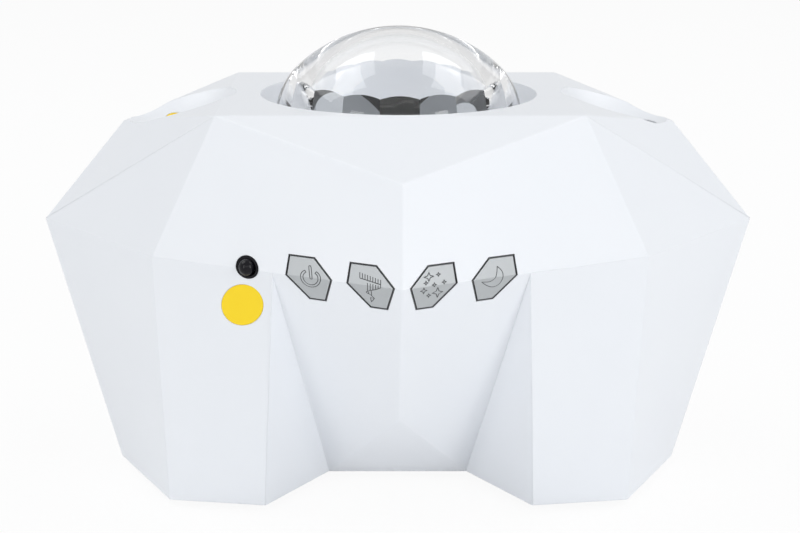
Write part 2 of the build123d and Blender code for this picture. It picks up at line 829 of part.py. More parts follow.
# Star projector in the left scoop
def make_star_window():
    return upright(window_r, projector_top - window_thick, projector_top, star_x)


def make_star_grating():
    top = projector_top - window_thick
    return upright(window_r, top - grating_thick, top, star_x)


def make_laser_module():
    barrel = upright(laser_r, laser_bottom, laser_top, star_x)
    return barrel - upright(laser_beam_r, laser_top - laser_beam_depth, laser_top, star_x)


def make_laser_board():
    return upright(laser_board_r, laser_bottom - small_board, laser_bottom, star_x)


def make_star_sticker(lift):
    """Thin disc let into the scoop, or the room for it when it is not lifted."""
    tilt = math.radians(star_sticker_tilt)
    turn = math.radians(star_sticker_turn)
    away = Vector(math.sin(tilt) * math.cos(turn), math.sin(tilt) * math.sin(turn), -math.cos(tilt))
    centre = Vector(star_x, 0, scoop_centre_z) + away * scoop_r
    seat = Plane(centre + away * sticker_thick, z_dir=away * -1)
    if lift:
        return extrude(seat * Circle(star_sticker_r), amount=sticker_thick)
    return extrude(seat * Circle(star_sticker_r + slip), amount=star_sticker_r)


# Moon projector in the right scoop
def lens(radius, clear_r, edge, bulge_up, bulge_down, bottom, x):
    """A round lens with a flat rim and faces that curve inside its clear radius."""
    glass = upright(radius, bottom, bottom + edge, x)
    for bulge, face_z, side in ((bulge_up, bottom + edge, 1), (bulge_down, bottom, -1)):
        if bulge:
            ball_r = (clear_r ** 2 + bulge ** 2) / (2 * bulge)
            ball = Pos(x, 0, face_z - side * (ball_r - bulge)) * Sphere(ball_r)
            low, high = sorted((face_z, face_z + side * bulge))
            glass += ball & upright(clear_r, low, high, x)
    return glass


def make_moon_barrel():
    barrel = upright(moon_barrel_r, barrel_bottom, barrel_top, moon_x)
    barrel -= upright(moon_view_r, barrel_bottom, barrel_top, moon_x)
    barrel -= upright(moon_lens_r + slip, lens_seat_z, barrel_top, moon_x)
    return barrel - upright(moon_lens_r + slip, barrel_bottom, slide_seat_z, moon_x)


def make_moon_lens():
    return lens(moon_lens_r, moon_view_r - slip, moon_lens_edge, moon_lens_bulge, moon_lens_bulge,
                lens_seat_z, moon_x)


def make_moon_lens_ring():
    ring_part = upright(moon_barrel_r, barrel_top, projector_top, moon_x)
    ring_part += upright(moon_snout_r, projector_top, projector_top + moon_snout, moon_x)
    ring_part += upright(moon_lens_r, lens_seat_z + moon_lens_edge, barrel_top, moon_x)
    return ring_part - upright(moon_view_r, lens_seat_z, projector_top + moon_snout, moon_x)


def make_moon_slide():
    return upright(moon_lens_r, slide_seat_z - moon_slide_thick, slide_seat_z, moon_x)


def make_moon_condenser():
    return lens(moon_lens_r, moon_view_r, condenser_edge, condenser_bulge, 0, condenser_bottom, moon_x)


def make_moon_spacer():
    tube = upright(moon_lens_r, barrel_bottom, condenser_bottom, moon_x)
    return tube - upright(moon_lens_r - spacer_wall, barrel_bottom, condenser_bottom, moon_x)


def make_moon_led_board():
    disc = upright(moon_barrel_r, barrel_bottom - small_board, barrel_bottom, moon_x)
    return disc + Pos(moon_x, 0, barrel_bottom) * Box(small_led, small_led, small_led_height,
                                                     align=(Align.CENTER, Align.CENTER, Align.MIN))


# Buttons, frame, switches and their board
def make_button(x):
    """A hollow cap with a stop flange and a stem for its switch."""
    outline = button_outline(x)
    cap = along_y(outline, front_limit, flange_back) & body
    hollow = along_y(grown(outline, -button_side), front_limit, flange_back) & (Pos(0, button_face, 0) * body)
    cap -= hollow
    flange = along_y(grown(outline, button_lap), flange_front, flange_back)
    cap += flange - along_y(grown(outline, -button_side), flange_front, flange_back)
    stem_x = x - button_width / 2
    stem = rod_y(button_stem_r, front_limit, stem_end, stem_x, belt_z) & body
    cross = along_y(outline, flange_front, flange_back) & block(
        (stem_x - button_width, stem_x + button_width), (flange_front, flange_back),
        (belt_z - button_side / 2, belt_z + button_side / 2))
    return cap + stem + cross


def make_button_frame():
    frame = block((-frame_half_x, frame_half_x), (frame_front, frame_back),
                  (belt_z - frame_drop, belt_z + frame_rise))
    shadow = Pos(0, frame_recess, 0) * body
    hollow_room = Pos(0, button_gap * 2, 0) * cavity
    for x in button_x.values():
        outline = button_outline(x)
        sleeve = along_y(grown(outline, frame_margin), front_limit, frame_front) & shadow
        backing = grown(outline, frame_margin + frame_backing)
        sleeve += along_y(backing, front_limit, frame_front) & hollow_room
        frame += both(sleeve)
    for x in button_x.values():
        frame -= both(along_y(grown(button_outline(x), button_gap), front_limit, frame_back))
    for x in (-standoff_x, standoff_x):
        for z in (belt_z + standoff_rise, belt_z - standoff_drop):
            frame += rod_y(standoff_r, frame_back, board_front, x, z)
            frame -= rod_y(small_screw[0] + snug, board_front - small_screw_bite, board_front, x, z)
    return frame


def make_tact_switches():
    switches = []
    for x in switch_places:
        half = switch_size / 2
        case = block((x - half, x + half), (switch_front, board_front), (belt_z - half, belt_z + half))
        depth = plunger_hold + button_travel + slip
        switches.append(case - rod_y(plunger_r + running, switch_front, switch_front + depth, x, belt_z))
    return Compound(children=switches)


def make_plunger(x):
    return rod_y(plunger_r, stem_end, switch_front + plunger_hold, x, belt_z)


def make_button_board():
    sheet = block((-button_board_reach, frame_half_x), (board_front, board_back),
                  (belt_z - frame_drop, belt_z + frame_rise))
    for x in (-standoff_x, standoff_x):
        for z in (belt_z + standoff_rise, belt_z - standoff_drop):
            sheet -= rod_y(small_screw[0] + screw_clear, board_front, board_back, x, z)
    return sheet


def make_button_board_screws():
    screws = []
    shank_r, head_r, head = small_screw
    for x in (-standoff_x, standoff_x):
        for z in (belt_z + standoff_rise, belt_z - standoff_drop):
            shank = rod_y(shank_r, board_front - small_screw_bite + slip, board_back, x, z)
            screws.append(shank + rod_y(head_r, board_back, board_back + head, x, z))
    return Compound(children=screws)


# Remote control window
def make_ir_bezel():
    tube = rod_y(sensor_hole_r - running, front_limit, sensor_flange_front, -sensor_x, sensor_z)
    tube &= Pos(0, -sensor_proud, 0) * body
    flange_end = sensor_flange_front + sensor_flange
    tube += rod_y(sensor_flange_r, sensor_flange_front, flange_end, -sensor_x, sensor_z)
    bore_r = sensor_hole_r - running - sensor_ring
    return tube - rod_y(bore_r, front_limit, flange_end, -sensor_x, sensor_z)


def make_ir_receiver():
    front = sensor_flange_front + sensor_flange
    back = front + receiver_y
    case = block((-sensor_x - receiver_x / 2, -sensor_x + receiver_x / 2), (front, back),
                 (sensor_z - receiver_z / 2, sensor_z + receiver_z / 2))
    surface = facet_y(("top", "cheek", "shoulder"), sensor_x, sensor_z, 0)
    dome_y = surface + receiver_lens_r + sensor_ring
    case += rod_y(receiver_lens_r, dome_y, front, -sensor_x, sensor_z)
    case += Pos(-sensor_x, dome_y, sensor_z) * Sphere(receiver_lens_r)
    for step in (-1, 0, 1):
        case += rod_y(lead_r, back, board_front, -sensor_x + step * lead_pitch, sensor_z)
    return case


def make_sensor_sticker():
    return extrude(sticker_plane().offset(-sticker_thick) * sticker_oval(0), amount=sticker_thick)


# Main board, socket and feet
def rear_inner_y(x, z):
    """Inner surface of the rear wall beside the socket, on the mirrored front facet."""
    a, b, c, d = (np.array(corner[name]) for name in ("shoulder", "cheek", "corner_foot", "toe"))
    down = (belt_z - z) / lower_height
    near = a + (c - a) * down
    far = b + (d - b) * down
    share = (near[0] - x) / (near[0] - far[0])
    return -(near[1] + (far[1] - near[1]) * share) - wall / math.cos(math.radians(rear_slant))


socket_front = rear_inner_y(socket_x + tab_width / 2, board_bottom) - socket_gap


def make_main_board():
    sheet = block((-main_board_x, main_board_x), (-main_board_y, main_board_y), (board_bottom, board_top))
    tab_x = (socket_x - tab_width / 2, socket_x + tab_width / 2)
    sheet += block(tab_x, (0, socket_front), (board_bottom, board_top))
    for x, y in four(board_post_x, board_post_y):
        sheet -= upright(board_screw[0] + screw_clear, board_bottom, board_top, x, y)
    return sheet


def on_board(x, y, size_x, size_y, height):
    """A component that stands on the main board."""
    x_range = (x - size_x / 2, x + size_x / 2)
    y_range = (y - size_y / 2, y + size_y / 2)
    return block(x_range, y_range, (board_top, board_top + height))


def make_board_chips():
    return Compound(children=[on_board(*chip) for chip in chips])


def make_board_connectors():
    return Compound(children=[on_board(x, connector_y, *connector_size) for x in connector_x.values()])


def make_board_capacitors():
    top = board_top + capacitor_height
    return Compound(children=[upright(capacitor_r, board_top, top, x, capacitor_y) for x in capacitor_x])


# Leads from the main board to what they feed
def make_lead(name, end_x, end_y, end_z):
    """A round lead that rises from its connector, crosses at one level and rises to its end."""
    x = connector_x[name]
    spots = [(x, connector_y, connector_top), (x, connector_y, wire_level)]
    spots += [(end_x, end_y, wire_level), (end_x, end_y, end_z)]
    path = FilletPolyline(*spots, radius=wire_bend)
    return sweep(Plane(path @ 0, z_dir=path % 0) * Circle(wire_r), path=path)


def make_power_socket():
    outside = Pos(socket_x, socket_middle_z) * SlotOverall(socket_width, socket_height)
    inside = Pos(socket_x, socket_middle_z) * SlotOverall(
        socket_width - 2 * socket_wall, socket_height - 2 * socket_wall)
    back = socket_front - socket_length
    shell = along_y(outside, back, socket_front) - along_y(inside, back + socket_back, socket_front)
    half = socket_width / 2 - socket_height / 2
    tongue = block((socket_x - half, socket_x + half), (back, socket_front - tongue_setback),
                   (socket_middle_z - socket_tongue / 2, socket_middle_z + socket_tongue / 2))
    return shell + tongue


def make_rubber_feet():
    feet = [upright(foot_r, 0, base_z + foot_recess, x, y) for x, y in four(post_x, post_y)]
    return Compound(children=feet)


def make_casing_screws():
    return Compound(children=[screw_up(casing_screw, casing_seat_z, belt_z + casing_screw_bite, x, y)
                              for x, y in four(post_x, post_y)])


def make_can_screws():
    places = around(ear_ring_r, 4, 45)
    return Compound(children=[screw_up(can_screw, can_flange_bottom, can_top + can_screw_bite, x, y)
                              for x, y in places])


def make_heat_sink_screws():
    places = around(lug_ring_r, 3, -90)
    return Compound(children=[screw_up(can_screw, sink_bottom, can_bottom + can_screw_bite, x, y)
                              for x, y in places])


def make_motor_screws():
    tip_z = can_step_bottom - small_screw_bite + slip
    return Compound(children=[screw_down(small_screw, can_step_top, tip_z, x, y)
                              for x, y in motor_screw_places])


def make_main_board_screws():
    return Compound(children=[screw_down(board_screw, board_top, board_bottom - board_screw_bite, x, y)
                              for x, y in four(board_post_x, board_post_y)])


parts = {
    "upper_casing": make_upper_casing(),
    "lower_casing": make_lower_casing(),
    "dome": make_dome(),
    "light_shroud": make_light_shroud(),
    "lamp_can": make_lamp_can(),
    "heat_sink": make_heat_sink(),
    "led_board": make_led_board(),
    "aurora_leds": make_aurora_leds(),
    "ripple_axle": make_ripple_axle(),
    "axle_clip": make_axle_clip(),
    "ripple_gear": make_ripple_gear(),
    "ripple_lens": make_ripple_lens(),
    "drive_pinion": make_drive_pinion(),
    "motor": make_motor(),
    "motor_shaft": make_motor_shaft(),
    "star_window": make_star_window(),
    "star_grating": make_star_grating(),
    "laser_module": make_laser_module(),
    "laser_board": make_laser_board(),
    "star_sticker": make_star_sticker(1),
    "moon_barrel": make_moon_barrel(),
    "moon_lens": make_moon_lens(),
    "moon_lens_ring": make_moon_lens_ring(),
    "moon_slide": make_moon_slide(),
    "moon_condenser": make_moon_condenser(),
    "moon_spacer": make_moon_spacer(),
    "moon_led_board": make_moon_led_board(),
    "button_frame": make_button_frame(),
    "tact_switches": make_tact_switches(),
    "button_board": make_button_board(),
    "button_board_screws": make_button_board_screws(),
    "ir_bezel": make_ir_bezel(),
    "ir_receiver": make_ir_receiver(),
    "sensor_sticker": make_sensor_sticker(),
    "main_board": make_main_board(),
    "board_chips": make_board_chips(),
    "board_connectors": make_board_connectors(),
    "board_capacitors": make_board_capacitors(),
    "power_socket": make_power_socket(),
    "rubber_feet": make_rubber_feet(),
    "casing_screws": make_casing_screws(),
    "can_screws": make_can_screws(),
    "heat_sink_screws": make_heat_sink_screws(),
    "motor_screws": make_motor_screws(),
    "main_board_screws": make_main_board_screws(),
    "laser_lead": make_lead("laser", star_x, 0, laser_bottom - small_board),
    "led_lead": make_lead("led", led_wire_x, led_wire_y, sink_top),
    "motor_lead": make_lead("motor", 0, drive_y, motor_bottom),
    "button_lead": make_lead("button", connector_x["button"], board_front + board / 2, belt_z - frame_drop),
    "moon_lead": make_lead("moon", moon_x, 0, barrel_bottom - small_board),
}
left_names = {"stars": "aurora", "moon": "power"}
for name, x in button_x.items():
    cap = make_button(x)
    stem_x = x - button_width / 2
    parts[f"{name}_button"] = cap
    parts[f"{name}_plunger"] = make_plunger(stem_x)
    parts[f"{left_names[name]}_button"] = mirror(cap, about=Plane.YZ)
    parts[f"{left_names[name]}_plunger"] = make_plunger(-stem_x)

for name, shape in parts.items():
    export_step(shape, f"parts/{name}.step")
    print(name, len(shape.solids()), "solids", round(sum(solid.volume for solid in shape.solids()), 1), "mm3")
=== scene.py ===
# Home planetarium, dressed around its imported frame
import math

import bmesh
import bpy
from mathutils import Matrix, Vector
from mathutils.bvhtree import BVHTree


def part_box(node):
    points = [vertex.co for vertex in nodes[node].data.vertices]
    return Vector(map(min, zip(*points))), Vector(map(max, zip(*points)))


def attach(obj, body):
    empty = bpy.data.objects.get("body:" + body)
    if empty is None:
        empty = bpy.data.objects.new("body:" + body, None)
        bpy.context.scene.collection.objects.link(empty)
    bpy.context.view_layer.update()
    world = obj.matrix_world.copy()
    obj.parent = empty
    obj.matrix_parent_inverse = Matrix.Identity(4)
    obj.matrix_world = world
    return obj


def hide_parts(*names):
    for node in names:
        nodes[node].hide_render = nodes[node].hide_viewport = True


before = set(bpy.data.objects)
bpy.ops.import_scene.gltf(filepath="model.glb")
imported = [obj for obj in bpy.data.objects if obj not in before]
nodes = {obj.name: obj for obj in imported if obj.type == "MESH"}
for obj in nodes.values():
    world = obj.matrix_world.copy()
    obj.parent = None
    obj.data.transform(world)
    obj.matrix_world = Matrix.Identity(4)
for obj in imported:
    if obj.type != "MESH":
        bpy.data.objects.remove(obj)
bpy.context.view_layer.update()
mm = 0.001
print("frame loaded,", len(nodes), "nodes")


# Small helpers for node trees
def put(tree, kind, x, y, **settings):
    node = tree.nodes.new(kind)
    node.location = (x, y)
    for key, value in settings.items():
        setattr(node, key, value)
    return node


def newGroup(name, inputs, outputs):
    group = bpy.data.node_groups.new(name, "ShaderNodeTree")
    for label, value in inputs.items():
        socket = group.interface.new_socket(label, in_out="INPUT", socket_type="NodeSocketFloat")
        socket.default_value = value
    for label in outputs:
        group.interface.new_socket(label, in_out="OUTPUT", socket_type="NodeSocketFloat")
    entry = put(group, "NodeGroupInput", -1000, 0)
    leave = put(group, "NodeGroupOutput", 800, 0)
    coords = put(group, "ShaderNodeTexCoord", -1000, -300)
    return group, entry, leave, coords.outputs["Object"]


def noiseOf(tree, place, scaleFrom, vector, detail, x, y):
    noise = put(tree, "ShaderNodeTexNoise", x, y)
    noise.inputs["Detail"].default_value = detail
    tree.links.new(vector, noise.inputs["Vector"])
    tree.links.new(scaleFrom, noise.inputs["Scale"])
    noise.label = place
    return noise.outputs["Fac"]


# Moulded skin: a fine grain and a slow mottle
def makeMouldSkin():
    scales = {"Grain": 2600.0, "Mottle": 45.0}
    group, entry, leave, coords = newGroup("mouldSkin", scales, ["Height", "Mottling"])
    fine = noiseOf(group, "grain", entry.outputs["Grain"], coords, 3.0, -600, 100)
    slow = noiseOf(group, "mottle", entry.outputs["Mottle"], coords, 2.0, -600, -200)
    group.links.new(fine, leave.inputs["Height"])
    group.links.new(slow, leave.inputs["Mottling"])
    return group


# Brushed lines: noise drawn out along x
def makeBrushLines():
    scales = {"Lines": 9000.0, "Draw": 0.02}
    group, entry, leave, coords = newGroup("brushLines", scales, ["Height", "Streak"])
    sizes = put(group, "ShaderNodeCombineXYZ", -800, 100)
    sizes.inputs["Y"].default_value = 1.0
    sizes.inputs["Z"].default_value = 1.0
    group.links.new(entry.outputs["Draw"], sizes.inputs["X"])
    drawn = put(group, "ShaderNodeVectorMath", -600, 100, operation="MULTIPLY")
    group.links.new(coords, drawn.inputs[0])
    group.links.new(sizes.outputs["Vector"], drawn.inputs[1])
    lines = noiseOf(group, "lines", entry.outputs["Lines"], drawn.outputs["Vector"], 4.0, -350, 100)
    group.links.new(lines, leave.inputs["Height"])
    group.links.new(lines, leave.inputs["Streak"])
    return group


# Dust that settles on what faces up
def makeDustVeil():
    group, entry, leave, coords = newGroup("dustVeil", {"Specks": 900.0, "Amount": 0.15}, ["Dust"])
    specks = noiseOf(group, "specks", entry.outputs["Specks"], coords, 5.0, -600, 100)
    facing = put(group, "ShaderNodeNewGeometry", -800, -250)
    split = put(group, "ShaderNodeSeparateXYZ", -600, -250)
    group.links.new(facing.outputs["Normal"], split.inputs["Vector"])
    level = put(group, "ShaderNodeMapRange", -350, -250)
    level.inputs["From Min"].default_value = 0.35
    level.inputs["From Max"].default_value = 1.0
    group.links.new(split.outputs["Z"], level.inputs["Value"])
    patches = put(group, "ShaderNodeMapRange", -350, 100)
    patches.inputs["From Min"].default_value = 0.45
    patches.inputs["From Max"].default_value = 0.75
    group.links.new(specks, patches.inputs["Value"])
    both = put(group, "ShaderNodeMath", -100, 0, operation="MULTIPLY")
    group.links.new(level.outputs["Result"], both.inputs[0])
    group.links.new(patches.outputs["Result"], both.inputs[1])
    share = put(group, "ShaderNodeMath", 150, 0, operation="MULTIPLY")
    group.links.new(both.outputs["Value"], share.inputs[0])
    group.links.new(entry.outputs["Amount"], share.inputs[1])
    group.links.new(share.outputs["Value"], leave.inputs["Dust"])
    return group


# Copper tracks under the lacquer of a circuit board
def makeBoardTracks():
    group, entry, leave, coords = newGroup("boardTracks", {"Pitch": 420.0}, ["Track", "Height"])
    cells = put(group, "ShaderNodeTexVoronoi", -600, 100, distance="CHEBYCHEV", feature="F1")
    group.links.new(coords, cells.inputs["Vector"])
    group.links.new(entry.outputs["Pitch"], cells.inputs["Scale"])
    wave = put(group, "ShaderNodeMath", -350, 100, operation="PINGPONG")
    wave.inputs[1].default_value = 0.12
    group.links.new(cells.outputs["Distance"], wave.inputs[0])
    edge = put(group, "ShaderNodeMath", -100, 100, operation="GREATER_THAN")
    edge.inputs[1].default_value = 0.07
    group.links.new(wave.outputs["Value"], edge.inputs[0])
    group.links.new(edge.outputs["Value"], leave.inputs["Track"])
    group.links.new(edge.outputs["Value"], leave.inputs["Height"])
    return group


mouldSkin = makeMouldSkin()
brushLines = makeBrushLines()
dustVeil = makeDustVeil()
boardTracks = makeBoardTracks()
print("shader groups made")


def newMaterial(name):
    material = bpy.data.materials.new(name)
    material.use_nodes = True
    tree = material.node_tree
    return material, tree, tree.nodes["Principled BSDF"]


def placeGroup(tree, group, x, y, **values):
    node = put(tree, "ShaderNodeGroup", x, y, node_tree=group)
    for label, value in values.items():
        node.inputs[label].default_value = value
    return node


def mixTints(tree, mask, tints, x, y):
    mix = put(tree, "ShaderNodeMix", x, y, data_type="RGBA")
    mix.inputs["A"].default_value = (*tints[0], 1.0)
    mix.inputs["B"].default_value = (*tints[1], 1.0)
    tree.links.new(mask, mix.inputs["Factor"])
    return mix.outputs["Result"]


def spread(tree, value, low, high, x, y, start=0.35, end=0.65):
    ranged = put(tree, "ShaderNodeMapRange", x, y)
    ranged.inputs["From Min"].default_value = start
    ranged.inputs["From Max"].default_value = end
    ranged.inputs["To Min"].default_value = low
    ranged.inputs["To Max"].default_value = high
    tree.links.new(value, ranged.inputs["Value"])
    return ranged.outputs["Result"]


def bumpFrom(tree, shader, height, strength, depth):
    bump = put(tree, "ShaderNodeBump", -250, -350)
    bump.inputs["Strength"].default_value = strength
    bump.inputs["Distance"].default_value = depth
    tree.links.new(height, bump.inputs["Height"])
    tree.links.new(bump.outputs["Normal"], shader.inputs["Normal"])


def tintAndRoughness(tree, shader, mask, look, start=0.35, end=0.65):
    tint = mixTints(tree, mask, look["tints"], -600, 150)
    tree.links.new(tint, shader.inputs["Base Color"])
    rough = spread(tree, mask, *look["rough"], -600, -150, start, end)
    tree.links.new(rough, shader.inputs["Roughness"])


# What the finishes of one kind share: a bump is its strength and its depth in metres
kinds = {"plasticIor": 1.47, "dustTint": (0.62, 0.61, 0.6), "brushedBump": (0.25, 0.00003),
         "clearDepth": 0.00002, "trackBump": (0.4, 0.00004), "lacquer": 0.4}


# A moulded or painted plastic
def plastic(name, look):
    material, tree, shader = newMaterial(name)
    skin = placeGroup(tree, mouldSkin, -900, 0, Grain=look["grain"], Mottle=look["mottle"])
    tint = mixTints(tree, skin.outputs["Mottling"], look["tints"], -600, 150)
    if look.get("dust"):
        dust = placeGroup(tree, dustVeil, -900, 300, Amount=look["dust"])
        veil = put(tree, "ShaderNodeMix", -350, 250, data_type="RGBA")
        veil.inputs["B"].default_value = (*kinds["dustTint"], 1.0)
        tree.links.new(tint, veil.inputs["A"])
        tree.links.new(dust.outputs["Dust"], veil.inputs["Factor"])
        tint = veil.outputs["Result"]
    tree.links.new(tint, shader.inputs["Base Color"])
    rough = spread(tree, skin.outputs["Mottling"], *look["rough"], -600, -150)
    tree.links.new(rough, shader.inputs["Roughness"])
    bumpFrom(tree, shader, skin.outputs["Height"], look["bump"], look["depth"])
    shader.inputs["Metallic"].default_value = look.get("metal", 0.0)
    shader.inputs["IOR"].default_value = kinds["plasticIor"]
    shader.inputs["Specular IOR Level"].default_value = look.get("gloss", 0.5)
    return material


# A brushed or turned metal
def metal(name, look):
    material, tree, shader = newMaterial(name)
    brush = placeGroup(tree, brushLines, -900, 0, Lines=look["lines"], Draw=look["draw"])
    tintAndRoughness(tree, shader, brush.outputs["Streak"], look)
    bumpFrom(tree, shader, brush.outputs["Height"], *kinds["brushedBump"])
    shader.inputs["Metallic"].default_value = 1.0
    return material


# Clear mouldings and lenses
def clear(name, look):
    material, tree, shader = newMaterial(name)
    skin = placeGroup(tree, mouldSkin, -900, 0, Grain=look["grain"], Mottle=look["mottle"])
    tintAndRoughness(tree, shader, skin.outputs["Mottling"], look)
    bumpFrom(tree, shader, skin.outputs["Height"], look["bump"], kinds["clearDepth"])
    shader.inputs["Transmission Weight"].default_value = 1.0
    shader.inputs["IOR"].default_value = look["ior"]
    return material


# Lacquered circuit board
def board(name, look):
    material, tree, shader = newMaterial(name)
    tracks = placeGroup(tree, boardTracks, -900, 0, Pitch=look["pitch"])
    tintAndRoughness(tree, shader, tracks.outputs["Track"], look, 0.0, 1.0)
    bumpFrom(tree, shader, tracks.outputs["Height"], *kinds["trackBump"])
    shader.inputs["Coat Weight"].default_value = kinds["lacquer"]
    return material


finishes = {
    "shellWhite": plastic("shellWhite", {
        "tints": ((0.858, 0.88, 0.915), (0.838, 0.862, 0.90)), "grain": 3200.0, "mottle": 38.0,
        "rough": (0.36, 0.44), "bump": 0.05, "depth": 0.00003, "dust": 0.02}),
    "blackPlastic": plastic("blackPlastic", {
        "tints": ((0.012, 0.012, 0.014), (0.022, 0.022, 0.025)), "grain": 2600.0, "mottle": 160.0,
        "rough": (0.42, 0.55), "bump": 0.12, "depth": 0.00005}),
    "shroudGrey": plastic("shroudGrey", {
        "tints": ((0.46, 0.49, 0.53), (0.52, 0.55, 0.59)), "grain": 2600.0, "mottle": 160.0,
        "rough": (0.38, 0.5), "bump": 0.1, "depth": 0.00005}),
    "frameGrey": plastic("frameGrey", {
        "tints": ((0.07, 0.07, 0.075), (0.1, 0.1, 0.105)), "grain": 2600.0, "mottle": 160.0,
        "rough": (0.42, 0.55), "bump": 0.12, "depth": 0.00005}),
    "keySilver": plastic("keySilver", {
        "tints": ((0.43, 0.45, 0.465), (0.485, 0.505, 0.515)), "grain": 9000.0, "mottle": 420.0,
        "rough": (0.4, 0.5), "bump": 0.12, "depth": 0.00002, "metal": 0.35}),
    # icon grooves: the dark colour is painted shade, darker than these shallow grooves would fall by
    # themselves
    "iconGrooveShade": plastic("iconGrooveShade", {
        "tints": ((0.11, 0.115, 0.12), (0.15, 0.155, 0.16)), "grain": 9000.0, "mottle": 420.0,
        "rough": (0.5, 0.6), "bump": 0.1, "depth": 0.00002}),
    "sensorBlack": plastic("sensorBlack", {
        "tints": ((0.004, 0.004, 0.006), (0.009, 0.008, 0.012)), "grain": 1800.0, "mottle": 260.0,
        "rough": (0.03, 0.06), "bump": 0.01, "depth": 0.00002, "gloss": 0.2}),
    "stickerYellow": plastic("stickerYellow", {
        "tints": ((0.98, 0.69, 0.015), (1.0, 0.73, 0.02)), "grain": 5200.0, "mottle": 300.0,
        "rough": (0.4, 0.5), "bump": 0.08, "depth": 0.00002, "gloss": 0.3}),
    "switchBlack": plastic("switchBlack", {
        "tints": ((0.02, 0.02, 0.02), (0.04, 0.04, 0.04)), "grain": 3000.0, "mottle": 300.0,
        "rough": (0.35, 0.5), "bump": 0.15, "depth": 0.00004}),
    "plungerRed": plastic("plungerRed", {
        "tints": ((0.34, 0.02, 0.015), (0.42, 0.03, 0.02)), "grain": 3000.0, "mottle": 300.0,
        "rough": (0.3, 0.42), "bump": 0.1, "depth": 0.00003}),
    "gearIvory": plastic("gearIvory", {
        "tints": ((0.70, 0.69, 0.65), (0.77, 0.76, 0.72)), "grain": 2200.0, "mottle": 120.0,
        "rough": (0.32, 0.45), "bump": 0.12, "depth": 0.00004}),
    "ledResin": plastic("ledResin", {
        "tints": ((0.80, 0.72, 0.36), (0.86, 0.80, 0.5)), "grain": 2200.0, "mottle": 260.0,
        "rough": (0.1, 0.2), "bump": 0.05, "depth": 0.00003}),
    "chipBlack": plastic("chipBlack", {
        "tints": ((0.025, 0.025, 0.027), (0.045, 0.045, 0.048)), "grain": 5200.0, "mottle": 260.0,
        "rough": (0.45, 0.6), "bump": 0.3, "depth": 0.00004}),
    "footRubber": plastic("footRubber", {
        "tints": ((0.03, 0.03, 0.032), (0.055, 0.055, 0.058)), "grain": 4200.0, "mottle": 200.0,
        "rough": (0.7, 0.85), "bump": 0.45, "depth": 0.00008}),
    "wireJacket": plastic("wireJacket", {
        "tints": ((0.03, 0.03, 0.032), (0.06, 0.06, 0.062)), "grain": 2600.0, "mottle": 200.0,
        "rough": (0.4, 0.55), "bump": 0.15, "depth": 0.00004}),
    "slideFilm": plastic("slideFilm", {
        "tints": ((0.05, 0.05, 0.06), (0.42, 0.42, 0.40)), "grain": 900.0, "mottle": 700.0,
        "rough": (0.2, 0.3), "bump": 0.02, "depth": 0.00002}),
    "sinkAluminium": metal("sinkAluminium", {
        "tints": ((0.60, 0.61, 0.63), (0.74, 0.75, 0.77)), "lines": 9000.0, "draw": 0.03,
        "rough": (0.28, 0.45)}),
    "steel": metal("steel", {
        "tints": ((0.46, 0.46, 0.48), (0.60, 0.60, 0.62)), "lines": 12000.0, "draw": 0.06,
        "rough": (0.22, 0.4)}),
    "laserBrass": metal("laserBrass", {
        "tints": ((0.60, 0.42, 0.17), (0.72, 0.53, 0.24)), "lines": 9000.0, "draw": 0.05,
        "rough": (0.2, 0.36)}),
    "domeClear": clear("domeClear", {
        "tints": ((1.0, 1.0, 1.0), (0.99, 0.995, 1.0)), "grain": 120.0, "mottle": 60.0,
        "rough": (0.0, 0.02), "bump": 0.012, "ior": 1.49}),
    "rippleClear": clear("rippleClear", {
        "tints": ((0.97, 0.98, 1.0), (0.94, 0.96, 0.98)), "grain": 240.0, "mottle": 90.0,
        "rough": (0.03, 0.08), "bump": 0.05, "ior": 1.49}),
    "opticGlass": clear("opticGlass", {
        "tints": ((0.93, 0.97, 1.0), (0.90, 0.95, 0.99)), "grain": 200.0, "mottle": 90.0,
        "rough": (0.0, 0.02), "bump": 0.01, "ior": 1.52}),
    "boardGreen": board("boardGreen", {
        "tints": ((0.015, 0.11, 0.045), (0.03, 0.19, 0.075)), "pitch": 420.0, "rough": (0.38, 0.28)}),
}
dressed = {
    "frameGrey": ["button_frame"],
    "blackPlastic": ["lamp_can", "moon_barrel", "moon_lens_ring", "moon_spacer"],
    "shroudGrey": ["light_shroud"],
    "sensorBlack": ["ir_bezel", "ir_receiver"],
    "stickerYellow": ["sensor_sticker", "star_sticker"],
    "switchBlack": ["tact_switches"],
    "plungerRed": ["stars_plunger", "moon_plunger", "aurora_plunger", "power_plunger"],
    "gearIvory": ["ripple_gear", "drive_pinion", "board_connectors"],
    "ledResin": ["aurora_leds"],
    "chipBlack": ["board_chips"],
    "footRubber": ["rubber_feet"],
    "wireJacket": ["laser_lead", "led_lead", "motor_lead", "button_lead", "moon_lead"],
    "slideFilm": ["moon_slide"],
    "sinkAluminium": ["heat_sink", "board_capacitors"],
    "steel": ["ripple_axle", "axle_clip", "motor", "motor_shaft", "power_socket", "button_board_screws",
              "casing_screws", "can_screws", "heat_sink_screws", "motor_screws", "main_board_screws"],
    "laserBrass": ["laser_module"],
    "rippleClear": ["ripple_lens"],
    "opticGlass": ["star_window", "star_grating", "moon_lens", "moon_condenser"],
    "boardGreen": ["led_board", "laser_board", "moon_led_board", "button_board", "main_board"],
}
for finish, members in dressed.items():
    for node in members:
        if not nodes[node].material_slots:
            nodes[node].data.materials.append(finishes[finish])
        for place in nodes[node].material_slots:
            place.material = finishes[finish]
print("finishes set on", sum(len(members) for members in dressed.values()), "nodes")


# Mesh helpers: weld distance in mm, angle in degrees
welding = {"near": 0.002, "flat": 0.05, "level": 0.999, "faceWeight": 90}


def mergedCopy(node):
    bm = bmesh.new()
    bm.from_mesh(nodes[node].data)
    bmesh.ops.remove_doubles(bm, verts=bm.verts[:], dist=welding["near"] * mm)
    return bm


